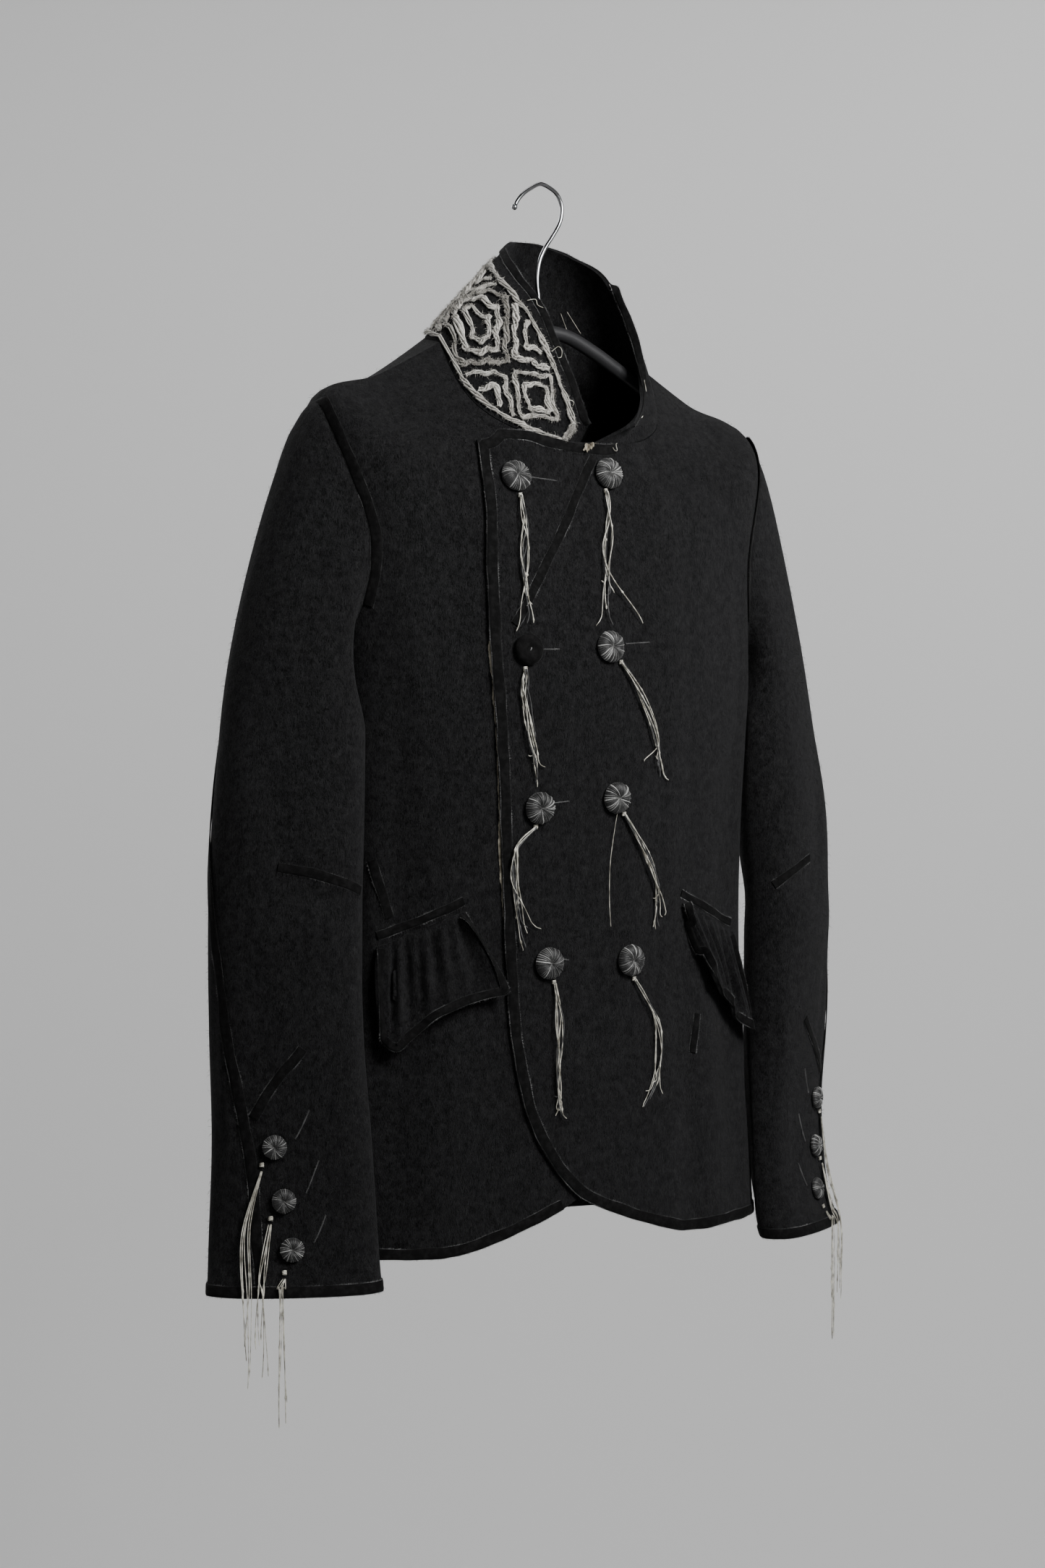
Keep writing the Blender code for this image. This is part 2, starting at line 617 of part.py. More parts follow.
def edge_tape(name, tree, border, inward, middle, width=TAPE_WIDTH, lift=EDGE_LIFT):
    """A tape along a cloth's border: inward leads from each border point into the cloth."""
    border = np.asarray(border)
    along = unit(np.gradient(border, axis=0))
    first, second, normals = [], [], []
    for point, way, lead in zip(border, along, inward):
        place, normal = nearest(tree, point, point - middle)
        into = lead - way * np.dot(lead, way)
        into = into - normal * np.dot(into, normal)
        into = into / np.linalg.norm(into)
        far, far_normal = nearest(tree, place + into * width, point - middle)
        close, _ = nearest(tree, place + into * TAPE_INSET, point - middle)
        first.append(close)
        second.append(far)
        normals.append(unit(normal + far_normal))
    add_tape(name, first, second, normals, lift)


def line_tape(name, tree, places, normals, width, lift):
    """A tape centred on a line of points of the cloth."""
    places, normals = np.asarray(places), unit(np.asarray(normals))
    across = unit(np.cross(np.gradient(places, axis=0), normals))
    sides = []
    for sign in (-0.5, 0.5):
        moved = places + across * sign * width
        sides.append([nearest(tree, p, n)[0] for p, n in zip(moved, normals)])
    add_tape(name, sides[0], sides[1], normals, lift)


BODY_MIDDLE = np.array((0.0, 0.0, -0.5))

left_outer, left_inner, left_turn = front_panel(1)
right_outer, right_inner, right_turn = front_panel(-1)
back_outer, back_inner, back_turn = back_panel()
LEFT = add_wall("front_left", left_outer, left_inner, WOOL)
RIGHT = add_wall("front_right", right_outer, right_inner, WOOL)
BACK = add_wall("back", back_outer, back_inner, WOOL)

SLEEVE_SIDES = (("left", 1), ("right", -1))
SLEEVE_WALLS = {}
SLEEVE_TREES = {}
for word, side in SLEEVE_SIDES:
    SLEEVE_WALLS[side] = sleeve_wall(side)
    SLEEVE_TREES[side] = add_wall(f"sleeve_{word}", *SLEEVE_WALLS[side], WOOL, closed=True)

# The collar's columns run from its right front end, back round the neck, to its left front end.
near_end, far_end = math.radians(COLLAR[0, 0]), math.radians(COLLAR[-1, 0])
full = 2.0 * math.pi
near_turns = right_turn[right_turn < near_end - 0.05]
far_turns = left_turn[::-1][left_turn[::-1] - full > far_end + 0.05] - full
collar_turns = np.concatenate([(near_end,), near_turns, back_turn[::-1][1:-1] - full, far_turns, (far_end,)])
collar_outer, collar_inner = collar_wall(collar_turns)
COLLAR_TREE = add_wall("collar", collar_outer, collar_inner, WOOL)


# Tapes along the hem, the front edges and the lapel's top.
LAPEL_COLUMNS = 7
hem = left_outer[0, ::-1][:-1]
hem_lead = np.tile((0.0, 0.0, 1.0), (len(hem), 1))
edge_up = left_outer[:, 0]
edge_lead = left_outer[:, 2] - left_outer[:, 0]
edge_lead[:3] += CORNER_LEAN
edge_lead = unit(edge_lead)
top = left_outer[-1, 1:LAPEL_COLUMNS]
top_lead = np.tile((0.0, 0.0, -1.0), (len(top), 1))
edge_lead[-1] = unit(edge_lead[-1] + top_lead[0])
edge_tape(
    "tape_front_left",
    LEFT,
    np.concatenate([hem, edge_up, top]),
    np.concatenate([hem_lead, edge_lead, top_lead]),
    BODY_MIDDLE,
)
CORNER_ROWS = 4
hem = right_outer[0, ::-1][:-1]
corner = right_outer[:CORNER_ROWS, 0]
corner_lead = right_outer[:CORNER_ROWS, 2] - corner
corner_lead[:3] += CORNER_LEAN
edge_tape(
    "tape_front_right",
    RIGHT,
    np.concatenate([hem, corner]),
    np.concatenate([np.tile((0.0, 0.0, 1.0), (len(hem), 1)), unit(corner_lead)]),
    BODY_MIDDLE,
)
edge_tape(
    "tape_hem_back", BACK, back_outer[0], np.tile((0.0, 0.0, 1.0), (BACK_COLUMNS + 1, 1)), BODY_MIDDLE
)


def diagonal(tree, start, end, count):
    """Points and normals on a front along a straight line between two (x, z) places."""
    found = [
        on_front(tree, start[0] + (end[0] - start[0]) * s, start[1] + (end[1] - start[1]) * s)
        for s in np.linspace(0.0, 1.0, count)
    ]
    return [f[0] for f in found], [f[1] for f in found]


LINE_TAPES = (
    # name, tree, start (x, z), end (x, z), points
    ("tape_lapel", LEFT, (0.0020, -0.2190), (-0.0800, -0.3500), 17),
    ("tape_waist_dart_right", RIGHT, (-0.1730, -0.5240), (-0.1640, -0.5660), 8),
    ("tape_waist_dart_left", LEFT, (0.1010, -0.6480), (0.0960, -0.6780), 6),
)
for name, tree, start, end, count in LINE_TAPES:
    places, normals = diagonal(tree, start, end, count)
    line_tape(name, tree, places, normals, DART_TAPE_WIDTH, TAPE_LIFT)


def flap_grid(tree, table):
    """A flap's points: its seam lies on the front, and its edge lifts off in puckers."""
    where = np.linspace(0.0, len(table) - 1.0, 2 * len(table) - 1)
    seam_x, seam_z, edge_x, edge_z, lift = columns(table, where)
    rows = []
    for share in FLAP_ROWS:
        row = []
        for k in range(len(where)):
            x = seam_x[k] + (edge_x[k] - seam_x[k]) * share
            z = seam_z[k] + (edge_z[k] - seam_z[k]) * share
            place, normal = on_front(tree, x, z)
            pucker = FLAP_PUCKER * math.sin(math.pi * share) * (1.0 + math.cos(2.6 * k))
            row.append(place + normal * (WALL + 0.0010 + lift[k] * share**1.6 + pucker))
        rows.append(row)
    return np.array(rows)


for word, tree, table in (("right", RIGHT, FLAP_RIGHT), ("left", LEFT, FLAP_LEFT)):
    outer = flap_grid(tree, table)
    normal = grid_normals(outer)
    normal = np.where(normal[..., 1:2] > 0.0, -normal, normal)
    flap = add_wall(f"pocket_flap_{word}", outer, outer - normal * WALL, WOOL)
    border = np.concatenate([outer[1:, 0], outer[-1, 1:], outer[::-1, -1][1:-1]])
    inside = outer[2:4, 4:7].mean(axis=(0, 1))
    lead = unit(inside - border)
    edge_tape(f"tape_flap_{word}", flap, border, lead, BODY_MIDDLE, NARROW_TAPE_WIDTH, FLAP_LIFT)
    ends = table[0, :2], table[-1, :2]
    above = (0.0, 0.0075)
    places, normals = diagonal(tree, ends[0] + above, ends[1] + above, 7)
    line_tape(f"tape_pocket_{word}", tree, places, normals, NARROW_TAPE_WIDTH, CROSS_LIFT)

# The collar's free edge.
collar_lead = unit(collar_outer[-2] - collar_outer[-1])
first = collar_outer[-1] + collar_lead * TAPE_INSET
second = collar_outer[-1] + collar_lead * NARROW_TAPE_WIDTH
away = unit((collar_outer - collar_inner)[-1] + (collar_outer - collar_inner)[-2])
add_tape("tape_collar", first, second, away, COLLAR_LIFT)

for word, side in SLEEVE_SIDES:
    outer, inner = SLEEVE_WALLS[side]
    tree = SLEEVE_TREES[side]
    out = unit(outer - inner)
    up = unit(outer[-2] - outer[-1])
    low_edge, high_edge = outer[-1] + up * TAPE_INSET, outer[-1] + up * TAPE_WIDTH
    add_tape(f"tape_cuff_{word}", low_edge, high_edge, out[-1], EDGE_LIFT, closed=True)
    # The hind seam's tape follows a column of the sleeve's own points.
    rows = slice(1, len(outer) - 2)
    seam, ahead, behind = (outer[rows, (SEAM_COLUMN + k) % SIDES_OF_SLEEVE] for k in (0, 1, -1))
    half = 0.5 * TAPE_WIDTH
    add_tape(
        f"tape_sleeve_{word}",
        seam + unit(behind - seam) * half,
        seam + unit(ahead - seam) * half,
        out[rows, SEAM_COLUMN],
        SEAM_LIFT,
    )


def on_sleeve(side, z, spin_deg):
    """A point on a sleeve's outer face at a height and a spin, and the face's normal there."""
    row = np.interp(-z, -SLEEVES[:, 2], np.arange(len(SLEEVES)))
    twist = columns(SLEEVES, row)[6]
    point = sleeve_ring(side, row, np.radians(spin_deg - twist))
    middle = np.array((side * columns(SLEEVES, row)[0], columns(SLEEVES, row)[1], z))
    return nearest(SLEEVE_TREES[side], point, point - middle)


SLEEVE_LINES = (
    # name, side, start_z, start_spin, end_z, end_spin, points
    ("tape_elbow_left", 1, -0.530, 103.0, -0.551, 162.0, 9),
    ("tape_elbow_right", -1, -0.528, 85.0, -0.546, 162.0, 11),
    ("tape_branch_left", 1, -0.706, 66.0, -0.660, 108.0, 9),
    ("tape_branch_right", -1, -0.706, 66.0, -0.657, 98.0, 9),
)
for name, side, start_z, start_spin, end_z, end_spin, count in SLEEVE_LINES:
    found = [
        on_sleeve(side, start_z + (end_z - start_z) * s, start_spin + (end_spin - start_spin) * s)
        for s in np.linspace(0.0, 1.0, count)
    ]
    places, normals = [f[0] for f in found], [f[1] for f in found]
    line_tape(name, SLEEVE_TREES[side], places, normals, DART_TAPE_WIDTH, SLEEVE_LIFT)

# Tapes round the armholes lie on the body, beside the seam. They stop short of the underarm.
ARM_ROWS = slice(len(LOW_LEVELS) + 3, len(LOW_LEVELS) + len(ARM_LEVELS))
BACK_ARM_ROWS = slice(len(BACK_LEVELS) + 3, len(BACK_LEVELS) + len(ARM_LEVELS) - 1)
for word, side, front, front_inner in (
    ("left", 1, left_outer, left_inner),
    ("right", -1, right_outer, right_inner),
):
    end, beside = (0, 1) if side > 0 else (-1, -2)
    border = np.concatenate([front[ARM_ROWS, -1], back_outer[BACK_ARM_ROWS, end][::-1]])
    lead = np.concatenate([front[ARM_ROWS, -2], back_outer[BACK_ARM_ROWS, beside][::-1]]) - border
    front_normal, back_normal = grid_normals(front) * side, grid_normals(back_outer)
    normals = np.concatenate([front_normal[ARM_ROWS, -1], back_normal[BACK_ARM_ROWS, end][::-1]])
    shoulder = ARM_ROWS.stop - ARM_ROWS.start - 1
    lead[shoulder] = front[ARM_ROWS.stop, -1] - front[ARM_ROWS.stop - 1, -1]
    add_tape(
        f"tape_armhole_{word}",
        border + unit(lead) * TAPE_INSET,
        border + unit(lead) * TAPE_WIDTH,
        normals,
        ROUND_LIFT,
    )

BUTTON_PROFILE = (
    # radius, height as shares of the button's radius and height
    (0.00, 0.78),
    (0.20, 0.92),
    (0.50, 1.00),
    (0.86, 0.74),
    (1.00, 0.38),
    (0.60, 0.00),
    (0.00, 0.00),
)


def add_button(name, place, normal, scale, steps):
    """A domed button with a dimpled middle, turned about its own axis and set on the cloth."""
    mesh = bpy.data.meshes.new(name)
    points = [(r * BUTTON_RADIUS * scale, 0.0, h * BUTTON_HEIGHT * scale) for r, h in BUTTON_PROFILE]
    mesh.from_pydata(points, [(k, k + 1) for k in range(len(points) - 1)], [])
    mesh.materials.append(WOUND)
    made = bpy.data.objects.new(name, mesh)
    JACKET.objects.link(made)
    turned = made.modifiers.new("turned", "SCREW")
    turned.steps = steps
    turned.render_steps = steps
    turned.use_merge_vertices = True
    turned.merge_threshold = 0.00001
    made.parent = ROOT
    made.location = Vector(place + normal * 2.0 * GAP)
    made.rotation_mode = "QUATERNION"
    made.rotation_quaternion = Vector(normal).to_track_quat("Z", "Y")


def add_tassel(name, place, normal, down, strands):
    """Threads on a small head. The head is a bar of cells, and every other cell's foot grows into a thread."""
    count = 2 * len(strands)
    out = np.asarray(normal)
    down = unit(down - out * np.dot(down, out))
    across = np.cross(out, down)
    middle = place + out * (GAP + 1.3 * HEAD_DEPTH)
    points, faces = [], []
    for station in range(count):
        at = middle + across * (station - (count - 1) / 2.0) * HEAD_CELL
        for y, z in ((-1, -1), (1, -1), (1, 1), (-1, 1)):
            points.append(at + out * y * HEAD_DEPTH + down * z * HEAD_HEIGHT)
    for station in range(count - 1):
        a, b = 4 * station, 4 * station + 4
        sides = [0, 1, 3] if station % 2 == 0 else [0, 1, 2, 3]
        for corner in sides:
            beside = (corner + 1) % 4
            faces.append((a + corner, a + beside, b + beside, b + corner))
    faces.append((3, 2, 1, 0))
    last = 4 * (count - 1)
    faces.append((last, last + 1, last + 2, last + 3))
    half = THREAD * 0.5
    for number, path in enumerate(strands):
        station = 2 * number
        ring = [4 * station + 2, 4 * station + 3, 4 * station + 7, 4 * station + 6]
        path = np.asarray(path)
        ways = unit(np.gradient(path, axis=0))
        for point, way in zip(path, ways):
            sideways = across - way * np.dot(across, way)
            sideways = sideways / np.linalg.norm(sideways)
            outward = np.cross(way, sideways)
            if np.dot(outward, out) < 0.0:
                outward = -outward
            start = len(points)
            for s, o in ((-1, 1), (-1, -1), (1, -1), (1, 1)):
                points.append(point + sideways * s * half + outward * o * half)
            after = [start, start + 1, start + 2, start + 3]
            for corner in range(4):
                beside = (corner + 1) % 4
                faces.append((ring[corner], ring[beside], after[beside], after[corner]))
            ring = after
        faces.append(tuple(ring))
    add(name, points, faces, IVORY)


for name, x, z in BUTTONS:
    add_button(name, *on_front(LEFT, x, z), 1.0, BUTTON_STEPS)

STRAND_STEPS = (0.10, 0.28, 0.50, 0.74, 1.0)
STRAY_SHARES = (0.0, 0.16, 0.30, 0.52, 1.0)
for name, *route in TASSELS:
    start, knee, low, end, stray = np.array(route).reshape(5, 2)
    place, normal = on_front(LEFT, *start)
    strands = []
    for number in range(STRANDS):
        share = STRAY_SHARES[number if stray[0] > end[0] else STRANDS - 1 - number]
        tip = end + (stray - end) * share
        spread = np.array(((number - 2) * 0.0022, 0.0))
        way = np.array((start, knee + spread * 0.8, low + spread * 1.3, tip + spread * 0.4))
        path = []
        for at in columns(way, 3.0 * np.array(STRAND_STEPS)).T:
            spot, out = on_front(LEFT, at[0] + spread[0] * 0.5, at[1] - 0.003)
            path.append(spot + out * THREAD_OFF)
        strands.append(path)
    add_tassel(f"tassel_{name}", place, normal, np.array((0.0, 0.0, -1.0)), strands)

for word, side in SLEEVE_SIDES:
    for number, (z, spin_deg) in enumerate(CUFF_BUTTONS, start=1):
        place, normal = on_sleeve(side, z, spin_deg)
        add_button(f"cuff_button_{word}_{number}", place, normal, CUFF_BUTTON_SCALE, CUFF_BUTTON_STEPS)
    for number, (start_z, start_spin, low_z, low_spin, end_z) in enumerate(CUFF_TASSELS, start=1):
        place, normal = on_sleeve(side, start_z, start_spin)
        low, low_normal = on_sleeve(side, low_z, low_spin)
        foot, foot_normal = on_sleeve(side, CUFF_END + 0.001, low_spin)
        strands = []
        for strand in range(CUFF_STRANDS):
            apart = (strand - 1.5) * 0.0020
            across = np.cross(normal, (0.0, 0.0, -1.0))
            first = place + normal * CUFF_THREAD_OFF + across * apart - np.array((0.0, 0.0, 0.006))
            second = low + low_normal * CUFF_THREAD_OFF + across * apart
            third = foot + foot_normal * CUFF_THREAD_OFF + across * apart
            tip = third + across * apart * 0.4
            tip[2] = end_z + 0.011 * ((strand * 2) % 3)
            way = np.array((first, second, third, tip))
            strands.append(columns(way, (0.0, 0.6, 1.3, 2.0, 3.0)).T)
        add_tassel(f"cuff_tassel_{word}_{number}", place, normal, np.array((0.0, 0.0, -1.0)), strands)


def add_wire(name, route, radius, material, radii):
    """A round bar along a line of points in the plane Y = 0."""
    curve = bpy.data.curves.new(name, "CURVE")
    curve.dimensions = "3D"
    curve.bevel_depth = radius
    curve.bevel_resolution = 2
    curve.use_fill_caps = True
    spline = curve.splines.new("POLY")
    spline.points.add(len(route) - 1)
    for number, (x, z) in enumerate(route):
        spline.points[number].co = (x, 0.0, z, 1.0)
        spline.points[number].radius = radii[number]
    curve.materials.append(material)
    made = bpy.data.objects.new(name, curve)
    JACKET.objects.link(made)
    made.parent = ROOT


HOOK_POINTS = 26
fine = columns(np.array(HOOK), np.linspace(0.0, len(HOOK) - 1.0, HOOK_POINTS)).T
fine[-1, 1] = HANGER[0][1] + HANGER_RADIUS + GAP
ball_end = [1.5, 1.45] + [1.0] * (HOOK_POINTS - 2)
add_wire("hook", fine, WIRE_RADIUS, STEEL, ball_end)
half = np.array(HANGER)
whole = np.concatenate([half[:0:-1] * np.array((-1.0, 1.0)), half])
add_wire("hanger", whole, HANGER_RADIUS, HANGER_FINISH, [1.0] * len(whole))
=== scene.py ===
"""The looks of a double-breasted jacket of felted wool, hung on a plain hanger with a wire hook.

Metres, +Z up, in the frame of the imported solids. "Level" is a height up the body, 0 at the hem and 10 at
the neck, and "turn" the angle round the body, 0 at the centre front and +90 degrees at the wearer's left.
"Spin" is the angle round a sleeve, 0 on its outer side and 90 degrees on the face that looks forward.
"""

import math

import bmesh
import bpy
import numpy as np
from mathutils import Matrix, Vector


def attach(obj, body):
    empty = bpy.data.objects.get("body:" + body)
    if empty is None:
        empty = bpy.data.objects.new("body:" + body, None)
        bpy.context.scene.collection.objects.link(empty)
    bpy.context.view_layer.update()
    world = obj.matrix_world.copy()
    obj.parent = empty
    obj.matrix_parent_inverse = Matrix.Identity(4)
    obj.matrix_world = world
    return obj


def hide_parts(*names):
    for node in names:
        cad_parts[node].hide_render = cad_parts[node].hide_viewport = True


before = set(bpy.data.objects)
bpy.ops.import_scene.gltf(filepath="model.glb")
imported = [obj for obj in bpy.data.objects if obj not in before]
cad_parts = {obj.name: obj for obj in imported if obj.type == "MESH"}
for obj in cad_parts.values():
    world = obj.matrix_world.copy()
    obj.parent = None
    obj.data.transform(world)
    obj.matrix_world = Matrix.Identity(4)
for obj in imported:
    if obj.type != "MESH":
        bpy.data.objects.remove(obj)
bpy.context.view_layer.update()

# The camera. It stands level at chest height, turned 35 degrees to the wearer's right of straight on, and
# its lens is a short telephoto on a full-frame sensor held upright.
camera_data = bpy.data.cameras.new("camera")
camera_data.lens = 60.7
camera_data.shift_y = -0.005
camera = bpy.data.objects.new("camera", camera_data)
camera.location = (-1.199, -1.688, -0.462)
camera.rotation_euler = (math.radians(90.0), 0.0, math.radians(-35.0))
bpy.context.scene.collection.objects.link(camera)
bpy.context.scene.camera = camera

# The two fronts and the back. Each is one piece of black wool cloth, felted until a short nap hides the
# weave, and cut with raw edges. The left front laps over the right, and the cloth hangs in soft folds.
WALL = 0.0022
GAP = 0.0003
LAP_GAP = 0.0009
CENTRE_X = -0.02
UNDERARM, SHOULDER, NECK = 6.0, 8.0, 10.0
LEVELS = np.array((
    # side_z, front_z, back_z, half_width, front_depth, back_depth, squareness, drop
    (-0.8160, -0.8160, -0.8170, 0.200, 0.080, 0.078, 0.80, 2.0),
    (-0.7600, -0.7600, -0.7600, 0.196, 0.079, 0.078, 0.80, 2.0),
    (-0.6900, -0.6900, -0.6900, 0.189, 0.077, 0.075, 0.80, 2.0),
    (-0.6000, -0.6000, -0.6000, 0.182, 0.075, 0.070, 0.80, 2.0),
    (-0.5100, -0.5150, -0.5100, 0.182, 0.079, 0.075, 0.80, 2.0),
    (-0.4300, -0.4400, -0.4300, 0.186, 0.084, 0.081, 0.80, 2.0),
    (-0.3700, -0.3900, -0.3600, 0.190, 0.086, 0.083, 0.80, 2.0),
    (-0.2800, -0.3300, -0.2750, 0.197, 0.081, 0.078, 0.80, 1.8),
    (-0.1850, -0.2700, -0.2050, 0.204, 0.073, 0.068, 0.75, 1.2),
    (-0.1600, -0.2400, -0.1600, 0.148, 0.067, 0.062, 0.60, 0.7),
    (-0.1310, -0.2090, -0.1180, 0.094, 0.061, 0.051, 0.50, 0.45),
))
EDGE = np.array((
    # z, x of the left front's edge
    (-0.8160, 0.0930),
    (-0.8070, 0.0500),
    (-0.7970, 0.0190),
    (-0.7830, -0.0143),
    (-0.7660, -0.0353),
    (-0.7437, -0.0521),
    (-0.7136, -0.0662),
    (-0.6840, -0.0734),
    (-0.5728, -0.0828),
    (-0.4678, -0.0907),
    (-0.3636, -0.0990),
    (-0.2000, -0.0960),
))
BODY_FOLDS = (
    # turn_deg, spread_deg, from_level, to_level, height, lean_deg a level
    (-74, 9, 0.0, 6.0, 0.0030, 0.0),
    (-58, 8, 0.0, 4.6, -0.0030, 0.0),
    (-44, 8, -1.0, 3.4, 0.0025, 0.0),
    (-38, 9, 5.0, 9.4, -0.0030, 0.0),
    (36, 9, -1.0, 3.6, 0.0030, 0.0),
    (52, 8, 0.0, 5.4, -0.0032, 0.0),
    (44, 10, 5.2, 9.4, -0.0028, 0.0),
    (70, 9, 1.5, 6.6, 0.0030, 0.0),
    (112, 9, -1.0, 5.6, 0.0035, 0.0),
    (134, 10, 0.0, 7.0, -0.0040, 0.0),
    (158, 11, -1.0, 4.6, 0.0038, 0.0),
    (182, 10, 1.0, 8.0, -0.0030, 0.0),
    (206, 12, -1.0, 5.0, 0.0038, 0.0),
    (232, 10, 0.0, 6.8, -0.0038, 0.0),
    (252, 8, -1.0, 5.0, 0.0030, 0.0),
    (-66, 4, 1.6, 5.6, -0.0016, 1.6),
    (-49, 4, 3.6, 7.6, 0.0012, -1.8),
    (-30, 5, 0.4, 3.8, -0.0014, 1.0),
    (-22, 5, 5.4, 8.2, 0.0010, -2.0),
    (8, 5, 1.2, 5.2, 0.0010, 1.2),
    (20, 5, 2.4, 6.6, -0.0013, -1.4),
    (27, 4, -0.5, 2.6, -0.0012, 1.0),
    (61, 4, 3.4, 7.8, -0.0015, -2.2),
    (78, 4, 3.0, 6.4, -0.0016, 1.4),
    (104, 4, 2.0, 6.2, -0.0015, -1.6),
    (122, 5, 0.6, 4.2, 0.0014, 1.5),
    (146, 5, 3.0, 7.4, 0.0016, -1.8),
    (170, 5, 0.0, 3.6, -0.0014, 1.2),
    (194, 5, 3.4, 7.6, 0.0014, 1.8),
    (219, 5, 0.8, 5.0, -0.0016, -1.4),
    (243, 5, 2.2, 6.6, 0.0013, 1.6),
    (262, 4, 1.0, 5.4, -0.0014, -1.2),
)


def unit(vectors):
    """The vectors at length 1."""
    return vectors / np.linalg.norm(vectors, axis=-1, keepdims=True)


def ease(share):
    """0 below 0, 1 above 1, and the cubic 3s^2 - 2s^3 between."""
    share = np.clip(share, 0.0, 1.0)
    return share * share * (3.0 - 2.0 * share)


def columns(table, where):
    """A table's columns at fractional row numbers, on the Catmull-Rom curve through its rows."""
    where = np.clip(np.asarray(where, float), 0.0, len(table) - 1.0)
    first = np.minimum(where.astype(int), len(table) - 2)
    share = (where - first)[..., None]
    before, low, high, after = [table[np.clip(first + k, 0, len(table) - 1)] for k in (-1, 0, 1, 2)]
    straight = 2.0 * low + share * (high - before)
    bent = share**2 * (2.0 * before - 5.0 * low + 4.0 * high - after)
    found = 0.5 * (straight + bent + share**3 * (3.0 * low - before - 3.0 * high + after))
    return np.moveaxis(found, -1, 0)


def body_folds(level, turn):
    """Each fold is a bell across the turn, faded in and out between its two levels, and the folds add up."""
    total = np.zeros(np.broadcast(level, turn).shape)
    for middle, spread, low, high, height, lean in BODY_FOLDS:
        apart = (np.degrees(turn) - middle - lean * (level - low) + 180.0) % 360.0 - 180.0
        total = total + height * ease(level - low) * ease(high - level) * np.exp(-((apart / spread) ** 2))
    return total


def body(level, turn):
    """The cloth's outer face: x = width sin(turn), y = depth |cos(turn)|^squareness, z from side to centre."""
    side_z, front_z, back_z, width, front, back, square, drop = columns(LEVELS, level)
    ahead = np.cos(turn)
    reach = np.abs(ahead) + 1e-12
    x = width * np.sin(turn)
    y = np.where(ahead > 0.0, -front, back) * reach**square
    z = side_z + (np.where(ahead > 0.0, front_z, back_z) - side_z) * reach**drop
    out = unit(np.stack([x / width**2, y / np.where(ahead > 0.0, front, back) ** 2], -1))
    fold = body_folds(level, turn)
    return np.stack([x + fold * out[..., 0], y + fold * out[..., 1], z], -1)


def body_normal(level, turn):
    """The cross product of the face's steps along its turn and up its level."""
    step = 0.004
    along = body(level, turn + step) - body(level, turn - step)
    rise = body(np.minimum(level + step, NECK), turn) - body(np.maximum(level - step, 0.0), turn)
    return unit(np.cross(along, rise))


def beside_armhole(level, widest_deg):
    """The armhole's distance from the side line: its widest angle times sin(pi share)^0.6 of its height."""
    share = np.clip((level - UNDERARM) / (SHOULDER - UNDERARM), 0.0, 1.0)
    return math.radians(widest_deg) * np.sin(math.pi * share) ** 0.6


def front_of_armhole(level):
    return math.pi / 2 - beside_armhole(level, 24.0)


def back_of_armhole(level):
    return math.pi / 2 + beside_armhole(level, 20.0)


def lap_lift(level, x):
    """How far the left front stands off, to lap over the right: full at its edge, easing to none past it."""
    lap_end = 0.064 - 0.030 * ease((level - SHOULDER) / 2.0)
    return (WALL + LAP_GAP) * (1.0 - ease((x - lap_end) / 0.030))


LOW_LEVELS = (0.0, 0.16, 0.34, 0.58, 0.88, 1.24, 1.62, 2.0, 2.6, 3.2, 3.8, 4.5, 5.2)
ARM_LEVELS = (6.0, 6.06, 6.24, 6.5, 6.78, 7.06, 7.34, 7.6, 7.82, 7.95, 8.0)
TOP_LEVELS = (8.35, 8.75, 9.15, 9.55, 10.0)
PANEL_ROWS = 169
FRONT_COLUMNS = 96
BACK_COLUMNS = 130


def panel_levels():
    """Levels from hem to neck, spaced as the stations of the low, armhole and top stretches are."""
    stations = np.array(LOW_LEVELS + ARM_LEVELS + TOP_LEVELS)
    return np.interp(np.linspace(0.0, len(stations) - 1.0, PANEL_ROWS), np.arange(len(stations)), stations)


def drawn_back(outer):
    """The grid with its borders moved inward by half the seam's gap."""
    outer[:, 0] += 0.5 * GAP * unit(outer[:, 1] - outer[:, 0])
    outer[:, -1] += 0.5 * GAP * unit(outer[:, -2] - outer[:, -1])
    outer[0] += 0.5 * GAP * unit(outer[1] - outer[0])
    outer[-1] += 0.5 * GAP * unit(outer[-2] - outer[-1])
    return outer


def front_edge(z):
    """The edge's x at a height: cubic Hermite curves over the square root of the height above the hem."""
    root = np.sqrt(np.clip(z - EDGE[0, 0], 0.0, None))
    knots = np.sqrt(EDGE[:, 0] - EDGE[0, 0])
    slopes = np.gradient(EDGE[:, 1], knots)
    k = np.clip(np.searchsorted(knots, root, side="right") - 1, 0, len(knots) - 2)
    span = knots[k + 1] - knots[k]
    s = np.clip((root - knots[k]) / span, 0.0, 1.0)
    rise = s * s * (3.0 - 2.0 * s)
    bent = (s**3 - 2.0 * s**2 + s) * slopes[k] + (s**3 - s**2) * slopes[k + 1]
    return EDGE[k, 1] + (EDGE[k + 1, 1] - EDGE[k, 1]) * rise + span * bent


